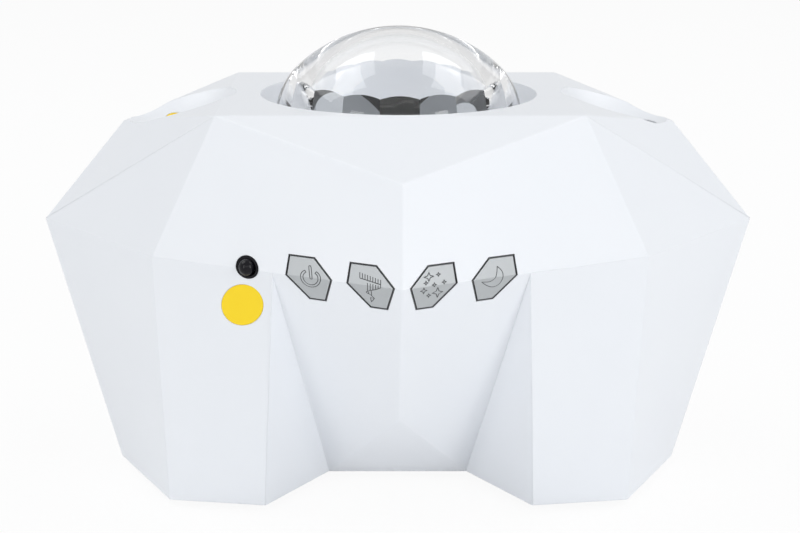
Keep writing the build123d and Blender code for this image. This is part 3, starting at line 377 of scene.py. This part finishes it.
def weldedCopy(node):
    bm = mergedCopy(node)
    bm.normal_update()
    # level faces keep their triangles: most of them are rings
    slopes = [edge for edge in bm.edges
              if all(abs(face.normal.z) < welding["level"] for face in edge.link_faces)]
    bmesh.ops.dissolve_limit(bm, angle_limit=math.radians(welding["flat"]), verts=[], edges=slopes)
    return bm


def newPiece(name, bm, finish):
    mesh = bpy.data.meshes.new(name)
    bm.to_mesh(mesh)
    bm.free()
    for layer in ("custom_normal", "sharp_face", "sharp_edge"):
        if layer in mesh.attributes:
            mesh.attributes.remove(mesh.attributes[layer])
    mesh.materials.clear()
    mesh.materials.append(finishes[finish])
    for face in mesh.polygons:
        face.material_index = 0
    piece = bpy.data.objects.new(name, mesh)
    bpy.context.scene.collection.objects.link(piece)
    return piece


def shadeByAngle(piece, angle):
    mesh = piece.data
    mesh.polygons.foreach_set("use_smooth", [True] * len(mesh.polygons))
    mesh.set_sharp_from_angle(angle=math.radians(angle))


def settle(piece):
    graph = bpy.context.evaluated_depsgraph_get()
    mesh = bpy.data.meshes.new_from_object(piece.evaluated_get(graph))
    piece.modifiers.clear()
    old = piece.data
    piece.data = mesh
    mesh.name = piece.name
    bpy.data.meshes.remove(old)


def weighNormals(piece):
    weighted = piece.modifiers.new("weighNormals", "WEIGHTED_NORMAL")
    weighted.keep_sharp = True
    weighted.weight = welding["faceWeight"]
    settle(piece)


# The two white shells: crisp facets with small rounded edges, in mm and degrees
casing = {
    "corners": {
        "top": (40.0, 32.6, 92.2), "wing": (64.5, 0, 85.5), "side": (84.0, 0, 62.0),
        "shoulder": (54.0, 37.0, 62.0), "cheek": (27.0, 50.75, 62.0), "nose": (0, 64.5, 62.0),
        "ridge": (0, 56.8, None), "beak": (0, 35.4, None), "sideFoot": (68.0, 0, 1.5),
        "cornerFoot": (53.0, 28.0, 1.5), "toe": (30.5, 31.5, 1.5), "notch": (16.5, 10.3, 1.5)},
    "upperEdges": ["top wing", "top side", "top shoulder", "top cheek", "top ridge", "top top", "wing side",
                   "ridge nose", "wing wing"],
    "lowerEdges": ["side sideFoot", "shoulder cornerFoot", "cheek toe", "cheek notch", "nose beak",
                   "beak notch", "notch notch", "sideFoot cornerFoot", "cornerFoot toe", "toe notch"],
    "beltEdges": ["side shoulder", "shoulder cheek", "cheek nose"],
    "near": 0.03, "past": 0.002, "round": 0.42, "steps": 3, "least": 2.0,
    "beltRound": 0.13, "beltLeast": 20.0, "fineSteps": 2, "shade": 32,
    "wellRadius": 32.2, "rimRound": 0.1, "rimLeast": 9.0, "rimNear": 0.05, "rimAbove": 91.5}


def planeHeight(a, b, c, x, y):
    normal = (Vector(b) - Vector(a)).cross(Vector(c) - Vector(a))
    return a[2] - (normal.x * (x - a[0]) + normal.y * (y - a[1])) / normal.z


def setFreeHeights(corners):
    top, cheek, nose, notch = (corners[name] for name in ("top", "cheek", "nose", "notch"))
    for name, plane in (("ridge", (top, cheek, nose)), ("beak", (cheek, nose, notch))):
        x, y, _ = corners[name]
        corners[name] = (x, y, planeHeight(*plane, x, y))


def mirrored(point):
    x, y, z = point
    return [Vector((sx * x, sy * y, z)) * mm for sx in (1, -1) for sy in (1, -1)]


def facetLines(pairs):
    lines = []
    for pair in pairs:
        first, second = pair.split()
        starts = mirrored(casing["corners"][first])
        ends = mirrored(casing["corners"][second])
        if first == second:
            lines += [(a, b) for i, a in enumerate(starts) for b in starts[i + 1:]]
        else:
            lines += list(zip(starts, ends))
    return [(a, b) for a, b in lines if (a - b).length > mm]


def onLine(point, line):
    a, b = line
    along = b - a
    share = (point - a).dot(along) / along.length_squared
    past = casing["past"]
    return -past < share < 1 + past and (a + along * share - point).length < casing["near"] * mm


def edgesOnLines(bm, lines, least):
    found = []
    for edge in bm.edges:
        if len(edge.link_faces) == 2 and edge.calc_face_angle(0.0) > math.radians(least):
            ends = [vert.co for vert in edge.verts]
            if any(onLine(ends[0], line) and onLine(ends[1], line) for line in lines):
                found.append(edge)
    return found


def roundEdges(bm, edges, width, steps):
    bmesh.ops.bevel(bm, geom=edges, offset=width * mm, offset_type="OFFSET", segments=steps, profile=0.5,
                    affect="EDGES", clamp_overlap=True)


def wellRim(vert):
    away = abs(math.hypot(vert.co.x, vert.co.y) - casing["wellRadius"] * mm)
    return away < casing["rimNear"] * mm and vert.co.z > casing["rimAbove"] * mm


def rimEdges(bm):
    return [edge for edge in bm.edges
            if len(edge.link_faces) == 2 and all(wellRim(vert) for vert in edge.verts)
            and edge.calc_face_angle(0.0) > math.radians(casing["rimLeast"])]


# Rounding where many facets meet can push a corner out a little
def keepInside(bm, node):
    low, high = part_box(node)
    for vert in bm.verts:
        for axis in range(3):
            vert.co[axis] = min(max(vert.co[axis], low[axis]), high[axis])


def dressShell(node, name, edgeNames):
    bm = weldedCopy(node)
    facetEdges = edgesOnLines(bm, facetLines(casing[edgeNames]), casing["least"])
    roundEdges(bm, facetEdges, casing["round"], casing["steps"])
    beltEdges = edgesOnLines(bm, facetLines(casing["beltEdges"]), casing["beltLeast"])
    roundEdges(bm, beltEdges, casing["beltRound"], casing["fineSteps"])
    if node == "upper_casing":
        # little more than 0.1 mm of plate is left between the well and the front edge
        roundEdges(bm, rimEdges(bm), casing["rimRound"], casing["fineSteps"])
    keepInside(bm, node)
    shell = newPiece(name, bm, "shellWhite")
    shadeByAngle(shell, casing["shade"])
    weighNormals(shell)
    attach(shell, "housing")
    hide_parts(node)
    print(name, len(shell.data.polygons), "faces")


setFreeHeights(casing["corners"])
dressShell("upper_casing", "upper_shell", "upperEdges")
dressShell("lower_casing", "lower_shell", "lowerEdges")


# Geometry node trees: named inputs are set by identifier
def newTree(name, inputs):
    tree = bpy.data.node_groups.new(name, "GeometryNodeTree")
    tree.interface.new_socket("Geometry", in_out="INPUT", socket_type="NodeSocketGeometry")
    for label, kind in inputs.items():
        tree.interface.new_socket(label, in_out="INPUT", socket_type=kind)
    tree.interface.new_socket("Geometry", in_out="OUTPUT", socket_type="NodeSocketGeometry")
    return tree, put(tree, "NodeGroupInput", -900, 0), put(tree, "NodeGroupOutput", 900, 0)


def runTree(piece, tree, values):
    worker = piece.modifiers.new(tree.name, "NODES")
    worker.node_group = tree
    for item in tree.interface.items_tree:
        if item.item_type == "SOCKET" and item.in_out == "INPUT" and item.name in values:
            worker[item.identifier] = values[item.name]
    settle(piece)


# Clear dome in mm: smooth outside, flat arched facets inside, one sector repeated round the axis
dome = {"flutes": 16, "columns": 10, "outer": 29.0, "height": 22.0, "shoulder": 18.0, "equator": 85.5,
        "footTop": 81.5, "footBottom": 79.5, "footRadius": 33.0, "rows": 22, "round": 0.5,
        "capRadius": 24.3, "capCentre": 80.2, "facet": 20.6, "draft": 0.02, "facetRows": 6, "capRows": 16,
        "weld": 0.004, "shade": 11}


def domeOutside():
    height = dome["height"]
    shoulder = dome["shoulder"]
    sideX = dome["outer"] - shoulder
    crown = (height ** 2 + sideX ** 2 - shoulder ** 2) / (2 * (height - shoulder))
    drop = crown - height
    turn = math.atan2(drop, sideX)
    outside = []
    for step in range(dome["rows"] + 1):
        tilt = math.pi / 2 - (math.pi / 2 - turn) * step / dome["rows"]
        outside.append((crown * math.cos(tilt), dome["equator"] - drop + crown * math.sin(tilt)))
    for step in range(1, dome["rows"] + 1):
        tilt = turn * (1 - step / dome["rows"])
        outside.append((sideX + shoulder * math.cos(tilt), dome["equator"] + shoulder * math.sin(tilt)))
    edge = dome["round"]
    outside += [(dome["outer"], dome["footTop"] + edge), (dome["outer"] + edge, dome["footTop"])]
    outside += [(dome["footRadius"] - edge, dome["footTop"]), (dome["footRadius"], dome["footTop"] - edge)]
    return outside + [(dome["footRadius"], dome["footBottom"])]


def domeInside(turn):
    cap = dome["capRadius"]
    centre = dome["capCentre"]

    def facetRadius(z):
        return (dome["facet"] - dome["draft"] * (z - dome["footBottom"])) / math.cos(turn)

    # halving finds where the cap meets the facet
    low, high = 0.0, math.pi / 2
    for _ in range(40):
        tilt = (low + high) / 2
        if cap * math.cos(tilt) > facetRadius(centre + cap * math.sin(tilt)):
            low = tilt
        else:
            high = tilt
    arch = centre + cap * math.sin(low)
    line = []
    for step in range(dome["facetRows"] + 1):
        z = dome["footBottom"] + (arch - dome["footBottom"]) * step / dome["facetRows"]
        line.append((facetRadius(z), z))
    for step in range(1, dome["capRows"] + 1):
        tilt = low + (math.pi / 2 - low) * step / dome["capRows"]
        line.append((cap * math.cos(tilt), centre + cap * math.sin(tilt)))
    return line


def fluteSector():
    outside = domeOutside()
    half = math.pi / dome["flutes"]
    bm = bmesh.new()
    columns = []
    for step in range(dome["columns"] + 1):
        turn = half * (2 * step / dome["columns"] - 1)
        columns.append([bm.verts.new(Vector((radius * math.cos(turn), radius * math.sin(turn), z)) * mm)
                        for radius, z in domeInside(turn) + outside])
    for left, right in zip(columns, columns[1:]):
        for row in range(len(left)):
            ahead = (row + 1) % len(left)
            bm.faces.new((left[row], right[row], right[ahead], left[ahead]))
    return bm


def fluteTree():
    tree, entry, leave = newTree("fluteRing", {"Flutes": "NodeSocketInt", "Finish": "NodeSocketMaterial"})
    spots = put(tree, "GeometryNodePoints", -650, 150)
    tree.links.new(entry.outputs["Flutes"], spots.inputs["Count"])
    index = put(tree, "GeometryNodeInputIndex", -900, -250)
    share = put(tree, "ShaderNodeMath", -650, -250, operation="DIVIDE")
    tree.links.new(index.outputs["Index"], share.inputs[0])
    tree.links.new(entry.outputs["Flutes"], share.inputs[1])
    turn = put(tree, "ShaderNodeMath", -450, -250, operation="MULTIPLY")
    turn.inputs[1].default_value = math.tau
    tree.links.new(share.outputs["Value"], turn.inputs[0])
    spin = put(tree, "ShaderNodeCombineXYZ", -250, -250)
    tree.links.new(turn.outputs["Value"], spin.inputs["Z"])
    copies = put(tree, "GeometryNodeInstanceOnPoints", -50, 100)
    tree.links.new(spots.outputs["Points"], copies.inputs["Points"])
    tree.links.new(entry.outputs["Geometry"], copies.inputs["Instance"])
    tree.links.new(spin.outputs["Vector"], copies.inputs["Rotation"])
    real = put(tree, "GeometryNodeRealizeInstances", 200, 100)
    tree.links.new(copies.outputs["Instances"], real.inputs["Geometry"])
    weld = put(tree, "GeometryNodeMergeByDistance", 400, 100)
    weld.inputs["Distance"].default_value = dome["weld"] * mm
    tree.links.new(real.outputs["Geometry"], weld.inputs["Geometry"])
    coat = put(tree, "GeometryNodeSetMaterial", 600, 100)
    tree.links.new(weld.outputs["Geometry"], coat.inputs["Geometry"])
    tree.links.new(entry.outputs["Finish"], coat.inputs["Material"])
    tree.links.new(coat.outputs["Geometry"], leave.inputs["Geometry"])
    return tree


def makeDome():
    piece = newPiece("clear_dome", fluteSector(), "domeClear")
    runTree(piece, fluteTree(), {"Flutes": dome["flutes"], "Finish": finishes["domeClear"]})
    bm = bmesh.new()
    bm.from_mesh(piece.data)
    bmesh.ops.dissolve_degenerate(bm, edges=bm.edges[:], dist=welding["near"] * mm)
    bmesh.ops.delete(bm, geom=[edge for edge in bm.edges if not edge.link_faces], context="EDGES")
    bmesh.ops.recalc_face_normals(bm, faces=bm.faces[:])
    bm.to_mesh(piece.data)
    bm.free()
    shadeByAngle(piece, dome["shade"])
    # daylight reaches the well through the clear dome
    piece.visible_shadow = False
    piece.visible_diffuse = False
    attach(piece, "housing")
    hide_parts("dome")
    print("clear_dome", len(piece.data.polygons), "faces")


makeDome()


# Round parts that show get smooth skins: the slot of each
roundParts = {"ir_bezel": "sensor_black", "ir_receiver": "sensor_black", "light_shroud": "black_plastic",
              "moon_lens_ring": "black_plastic", "moon_lens": "optic_glass", "star_window": "optic_glass",
              "rubber_feet": "foot_rubber", "casing_screws": "steel", "power_socket": "steel"}
roundShade = 32


def smoothed(node, body):
    finish = next(key for key, members in dressed.items() if node in members)
    piece = newPiece(node + "_smooth", mergedCopy(node), finish)
    shadeByAngle(piece, roundShade)
    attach(piece, body)
    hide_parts(node)


for node, slot in roundParts.items():
    smoothed(node, "housing")
print("round parts smoothed")

# Remote control window: a round dark lens in its ring, in mm
lensBall = {"x": -32.5, "z": 62.3, "centre": -47.2, "radius": 1.9, "foot": -44.6, "rows": 10, "turns": 36,
            "shade": 40}


def lensProfile():
    ball = lensBall["radius"]
    profile = []
    for row in range(1, lensBall["rows"] + 1):
        tilt = math.pi / 2 * row / lensBall["rows"]
        profile.append((math.sin(tilt) * ball, lensBall["centre"] - math.cos(tilt) * ball))
    return profile + [(ball, lensBall["foot"])]


def makeLens():
    bm = bmesh.new()
    x, z = lensBall["x"], lensBall["z"]
    turns = [math.tau * step / lensBall["turns"] for step in range(lensBall["turns"])]
    rings = []
    for across, y in lensProfile():
        places = [Vector((x + across * math.cos(turn), y, z + across * math.sin(turn))) for turn in turns]
        rings.append([bm.verts.new(place * mm) for place in places])
    tip = bm.verts.new(Vector((x, lensBall["centre"] - lensBall["radius"], z)) * mm)
    for step in range(lensBall["turns"]):
        ahead = (step + 1) % lensBall["turns"]
        bm.faces.new((tip, rings[0][step], rings[0][ahead]))
        for inner, outer in zip(rings, rings[1:]):
            bm.faces.new((inner[step], outer[step], outer[ahead], inner[ahead]))
    bm.faces.new(rings[-1])
    bmesh.ops.recalc_face_normals(bm, faces=bm.faces[:])
    lens = newPiece("ir_lens", bm, "sensorBlack")
    shadeByAngle(lens, lensBall["shade"])
    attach(lens, "housing")
    print("ir_lens", len(lens.data.polygons), "faces")


makeLens()


# Button icons, drawn as seen from the front: x and z of each line in mm
icons = {"lineRadius": 0.11, "lineSides": 6, "sink": 0.02, "step": 0.25, "closedNear": 0.001,
         "starWaist": 0.36, "rayStart": -200.0, "seenNear": 0.03, "frontOf": -44.0,
         "edgeRound": 0.14, "edgeSteps": 2, "edgeLeast": 12.0, "shade": 35}


def smoothLine(points, closed, cuts=6):
    count = len(points)
    line = []
    for i in range(count if closed else count - 1):
        if closed:
            p = [points[(i + k - 1) % count] for k in range(4)]
        else:
            p = [points[min(max(i + k - 1, 0), count - 1)] for k in range(4)]
        for step in range(cuts):
            t = step / cuts
            weights = (-t ** 3 + 2 * t ** 2 - t, 3 * t ** 3 - 5 * t ** 2 + 2,
                       -3 * t ** 3 + 4 * t ** 2 + t, t ** 3 - t ** 2)
            line.append(tuple(sum(w * q[axis] for w, q in zip(weights, p)) / 2 for axis in (0, 1)))
    return line + [line[0] if closed else points[-1]]


def starLine(x, z, across, up):
    line = []
    for step in range(8):
        turn = math.pi / 2 - math.pi / 4 * step
        reach = 1.0 if step % 2 == 0 else icons["starWaist"]
        line.append((x + across * reach * math.cos(turn), z + up * reach * math.sin(turn)))
    return line + [line[0]]


def powerLines():
    # radii across, up and down
    ring = {"x": -18.87, "z": 62.1, "outer": (2.12, 1.55, 2.55), "inner": (1.58, 1.1, 1.95), "gap": 36.0,
            "steps": 24}
    band = []
    for radii, order in ((ring["outer"], 1), (ring["inner"], -1)):
        arc = []
        for step in range(ring["steps"] + 1):
            turn = math.radians(90 + ring["gap"] + (360 - 2 * ring["gap"]) * step / ring["steps"])
            up = radii[1] if math.sin(turn) > 0 else radii[2]
            arc.append((ring["x"] + radii[0] * math.cos(turn), ring["z"] + up * math.sin(turn)))
        band += arc[::order]
    bar = [(-19.22, 64.1), (-19.0, 64.3), (-18.77, 64.12), (-18.53, 61.95), (-18.73, 61.75), (-18.97, 61.93)]
    return [band + [band[0]], smoothLine(bar, True, 4)]


def auroraLines():
    tops = [(-8.62 + 0.53 * i, 64.35 - 0.115 * i) for i in range(9)]
    lows = [(x, z - 1.08 + 0.02 * i) for i, (x, z) in enumerate(tops)]
    lines = [[top, low] for top, low in zip(tops, lows)]
    lines.append([lows[0], lows[-1], (-4.42, 61.85)])
    fold = [(-4.42, 61.85), (-5.46, 61.24), (-7.0, 60.55), (-7.25, 60.1), (-6.45, 59.68)]
    lines.append(smoothLine(fold, False, 5))
    rays = [(-7.05, 62.5, 60.65), (-6.5, 62.45, 60.85), (-5.95, 62.4, 61.1), (-5.4, 62.35, 61.35),
            (-4.9, 62.3, 61.6)]
    lines += [[(x, high), (x, low)] for x, high, low in rays]
    lines.append([(-6.45, 59.68), (-5.62, 58.83), (-6.25, 57.75), (-6.45, 58.9), (-5.62, 58.83)])
    lines.append([(-6.85, 60.4), (-6.8, 59.95)])
    lines.append([(-6.3, 60.7), (-6.2, 59.5)])
    return lines


def starsLines():
    stars = [(5.39, 63.87, 1.05, 0.92), (7.24, 60.15, 1.15, 1.4), (4.35, 61.07, 0.72, 0.85),
             (4.79, 62.74, 0.5, 0.42), (7.36, 64.11, 0.5, 0.42), (8.55, 62.5, 0.5, 0.44),
             (6.52, 62.2, 0.5, 0.46), (5.41, 59.65, 0.5, 0.56)]
    return [starLine(*star) for star in stars]


def moonLines():
    outer = [(19.78, 64.16), (20.64, 63.32), (21.03, 62.37), (20.83, 61.0), (20.2, 60.0), (18.96, 59.55),
             (17.68, 60.15), (16.49, 61.3)]
    inner = [(16.49, 61.3), (18.1, 61.1), (19.1, 61.62), (19.62, 62.55), (19.78, 64.16)]
    return [smoothLine(outer, False) + smoothLine(inner, False)]


def divided(line):
    fine = [line[0]]
    for a, b in zip(line, line[1:]):
        cuts = max(1, math.ceil(math.dist(a, b) / icons["step"]))
        fine += [tuple(a[k] + (b[k] - a[k]) * (i + 1) / cuts for k in (0, 1)) for i in range(cuts)]
    return fine


def strokeTree():
    tree, entry, leave = newTree("iconStroke", {"Radius": "NodeSocketFloat", "Finish": "NodeSocketMaterial"})
    path = put(tree, "GeometryNodeMeshToCurve", -600, 100)
    tree.links.new(entry.outputs["Geometry"], path.inputs["Mesh"])
    section = put(tree, "GeometryNodeCurvePrimitiveCircle", -600, -150)
    section.inputs["Resolution"].default_value = icons["lineSides"]
    tree.links.new(entry.outputs["Radius"], section.inputs["Radius"])
    tube = put(tree, "GeometryNodeCurveToMesh", -300, 100)
    tube.inputs["Fill Caps"].default_value = True
    tree.links.new(path.outputs["Curve"], tube.inputs["Curve"])
    tree.links.new(section.outputs["Curve"], tube.inputs["Profile Curve"])
    real = put(tree, "GeometryNodeRealizeInstances", 0, 100)
    tree.links.new(tube.outputs["Mesh"], real.inputs["Geometry"])
    coat = put(tree, "GeometryNodeSetMaterial", 300, 100)
    tree.links.new(real.outputs["Geometry"], coat.inputs["Geometry"])
    tree.links.new(entry.outputs["Finish"], coat.inputs["Material"])
    tree.links.new(coat.outputs["Geometry"], leave.inputs["Geometry"])
    return tree


iconStroke = strokeTree()


def frontPoint(skin, x, z):
    hit = skin.ray_cast(Vector((x, icons["rayStart"] * mm, z)), Vector((0, 1, 0)))
    return hit[0]


def cutIcon(button, lines):
    bm = bmesh.new()
    bm.from_mesh(button.data)
    skin = BVHTree.FromBMesh(bm)
    bm.free()
    wire = bmesh.new()
    for line in lines:
        spots = [frontPoint(skin, x * mm, z * mm) for x, z in divided(line)]
        closed = math.dist(line[0], line[-1]) < icons["closedNear"]
        if closed:
            spots = spots[:-1]
        verts = [wire.verts.new(spot + Vector((0, icons["sink"] * mm, 0))) for spot in spots]
        pairs = list(zip(verts, verts[1:])) + ([(verts[-1], verts[0])] if closed else [])
        for a, b in pairs:
            wire.edges.new((a, b))
    cutter = newPiece(button.name + "_lines", wire, "iconGrooveShade")
    runTree(cutter, iconStroke, {"Radius": icons["lineRadius"] * mm, "Finish": finishes["iconGrooveShade"]})
    # the groove walls take the cutter's painted shade colour
    button.data.materials.append(finishes["iconGrooveShade"])
    groove = button.modifiers.new("groove", "BOOLEAN")
    groove.operation = "DIFFERENCE"
    groove.solver = "EXACT"
    groove.use_self = True
    groove.material_mode = "TRANSFER"
    groove.object = cutter
    settle(button)
    bpy.data.objects.remove(cutter)


def frontEdges(bm):
    skin = BVHTree.FromBMesh(bm)
    seen = {}
    for vert in bm.verts:
        spot = frontPoint(skin, vert.co.x, vert.co.z)
        seen[vert] = spot is None or abs(spot.y - vert.co.y) < icons["seenNear"] * mm
    return [edge for edge in bm.edges if len(edge.link_faces) == 2 and all(seen[vert] for vert in edge.verts)
            and edge.calc_face_angle(0.0) > math.radians(icons["edgeLeast"])
            and max(vert.co.y for vert in edge.verts) < icons["frontOf"] * mm]


def makeButton(key, lines):
    bm = weldedCopy(key + "_button")
    roundEdges(bm, frontEdges(bm), icons["edgeRound"], icons["edgeSteps"])
    button = newPiece(key + "_cap", bm, "keySilver")
    cutIcon(button, lines)
    shadeByAngle(button, icons["shade"])
    weighNormals(button)
    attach(button, key + "_key")
    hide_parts(key + "_button")
    print(button.name, len(button.data.polygons), "faces")


makeButton("power", powerLines())
makeButton("aurora", auroraLines())
makeButton("stars", starsLines())
makeButton("moon", moonLines())


# Pale floor and soft studio light: places and sizes in metres, power in watts
studio = {"floor": 6.0, "floorTint": (0.94, 0.945, 0.95), "floorRough": 0.9, "floorGloss": 0.1,
          "floorGlow": 0.92, "ambient": 0.35, "tint": (0.97, 0.985, 1.0), "aim": (0, 0, 0.05), "bounces": 24}
boxes = {
    "overLeft": {"place": (-0.9, 0.1, 1.2), "size": (0.9, 0.9), "power": 6.5},
    "overRight": {"place": (0.9, 0.1, 1.2), "size": (0.9, 0.9), "power": 6.5},
    "front": {"place": (0.0, -1.4, 0.6), "size": (1.4, 0.6), "power": 2.5},
    "leftTower": {"place": (-1.0, -1.1, 0.45), "size": (0.35, 0.9), "power": 3.8},
    "rightTower": {"place": (1.0, -1.1, 0.45), "size": (0.35, 0.9), "power": 5.7},
}


def seenRays(tree, rays):
    seen = rays.outputs["Is Camera Ray"]
    for step, kind in enumerate(("Is Glossy Ray", "Is Transmission Ray")):
        either = put(tree, "ShaderNodeMath", -500, 450 + 150 * step, operation="MAXIMUM")
        tree.links.new(seen, either.inputs[0])
        tree.links.new(rays.outputs[kind], either.inputs[1])
        seen = either.outputs["Value"]
    return seen


def makeFloor():
    half = studio["floor"] / 2
    bm = bmesh.new()
    corners = [bm.verts.new((x * half, y * half, 0)) for x, y in ((-1, -1), (1, -1), (1, 1), (-1, 1))]
    bm.faces.new(corners)
    mesh = bpy.data.meshes.new("studio_floor")
    bm.to_mesh(mesh)
    bm.free()
    floor = bpy.data.objects.new("studio_floor", mesh)
    bpy.context.scene.collection.objects.link(floor)
    material, tree, shader = newMaterial("floorPale")
    shader.inputs["Base Color"].default_value = (*studio["floorTint"], 1.0)
    shader.inputs["Roughness"].default_value = studio["floorRough"]
    shader.inputs["Specular IOR Level"].default_value = studio["floorGloss"]
    glow = put(tree, "ShaderNodeEmission", -200, -300)
    glow.inputs["Strength"].default_value = 1.0
    rays = put(tree, "ShaderNodeLightPath", -600, 300)
    share = put(tree, "ShaderNodeMath", -350, 300, operation="MULTIPLY")
    share.inputs[1].default_value = studio["floorGlow"]
    tree.links.new(seenRays(tree, rays), share.inputs[0])
    mixed = put(tree, "ShaderNodeMixShader", 100, 200)
    tree.links.new(share.outputs["Value"], mixed.inputs["Fac"])
    tree.links.new(shader.outputs["BSDF"], mixed.inputs[1])
    tree.links.new(glow.outputs["Emission"], mixed.inputs[2])
    tree.links.new(mixed.outputs["Shader"], tree.nodes["Material Output"].inputs["Surface"])
    floor.data.materials.append(material)


def makeWorld():
    world = bpy.data.worlds.new("studio")
    bpy.context.scene.world = world
    world.use_nodes = True
    tree = world.node_tree
    lit = tree.nodes["Background"]
    lit.inputs["Color"].default_value = (*studio["tint"], 1.0)
    lit.inputs["Strength"].default_value = studio["ambient"]
    white = put(tree, "ShaderNodeBackground", -300, -200)
    white.inputs["Strength"].default_value = 1.0
    rays = put(tree, "ShaderNodeLightPath", -600, 300)
    mixed = put(tree, "ShaderNodeMixShader", 100, 0)
    tree.links.new(seenRays(tree, rays), mixed.inputs["Fac"])
    tree.links.new(lit.outputs["Background"], mixed.inputs[1])
    tree.links.new(white.outputs["Background"], mixed.inputs[2])
    tree.links.new(mixed.outputs["Shader"], tree.nodes["World Output"].inputs["Surface"])


def softbox(name, values):
    lamp = bpy.data.lights.new(name, "AREA")
    lamp.shape = "RECTANGLE"
    lamp.size, lamp.size_y = values["size"]
    lamp.energy = values["power"]
    box = bpy.data.objects.new(name, lamp)
    box.location = values["place"]
    aim = Vector(studio["aim"]) - box.location
    box.rotation_euler = aim.to_track_quat("-Z", "Y").to_euler()
    bpy.context.scene.collection.objects.link(box)


# Camera of the photograph: lens and middle in pixels of its frame, place in mm, tilt in degrees
camera = {"frame": 800, "focal": 1678.87, "middle": 372.63, "sensor": 36.0, "near": 0.01,
          "place": (-6.02, -390.09, 152.54), "tilt": 14.726}


def makeCamera():
    lens = bpy.data.cameras.new("photo_view")
    lens.sensor_width = camera["sensor"]
    lens.lens = camera["focal"] / camera["frame"] * camera["sensor"]
    lens.shift_x = (camera["frame"] / 2 - camera["middle"]) / camera["frame"]
    lens.clip_start = camera["near"]
    view = bpy.data.objects.new("photo_view", lens)
    view.location = Vector(camera["place"]) * mm
    view.rotation_euler = (math.radians(90 - camera["tilt"]), 0, 0)
    bpy.context.scene.collection.objects.link(view)
    bpy.context.scene.camera = view


makeFloor()
makeWorld()
for name, values in boxes.items():
    softbox(name, values)
makeCamera()
bpy.context.scene.view_settings.view_transform = "Standard"
# the dome is seen through itself, so light passes many clear faces
bounces = bpy.context.scene.cycles
bounces.max_bounces = studio["bounces"]
bounces.glossy_bounces = studio["bounces"]
bounces.transmission_bounces = studio["bounces"]
print("studio set")
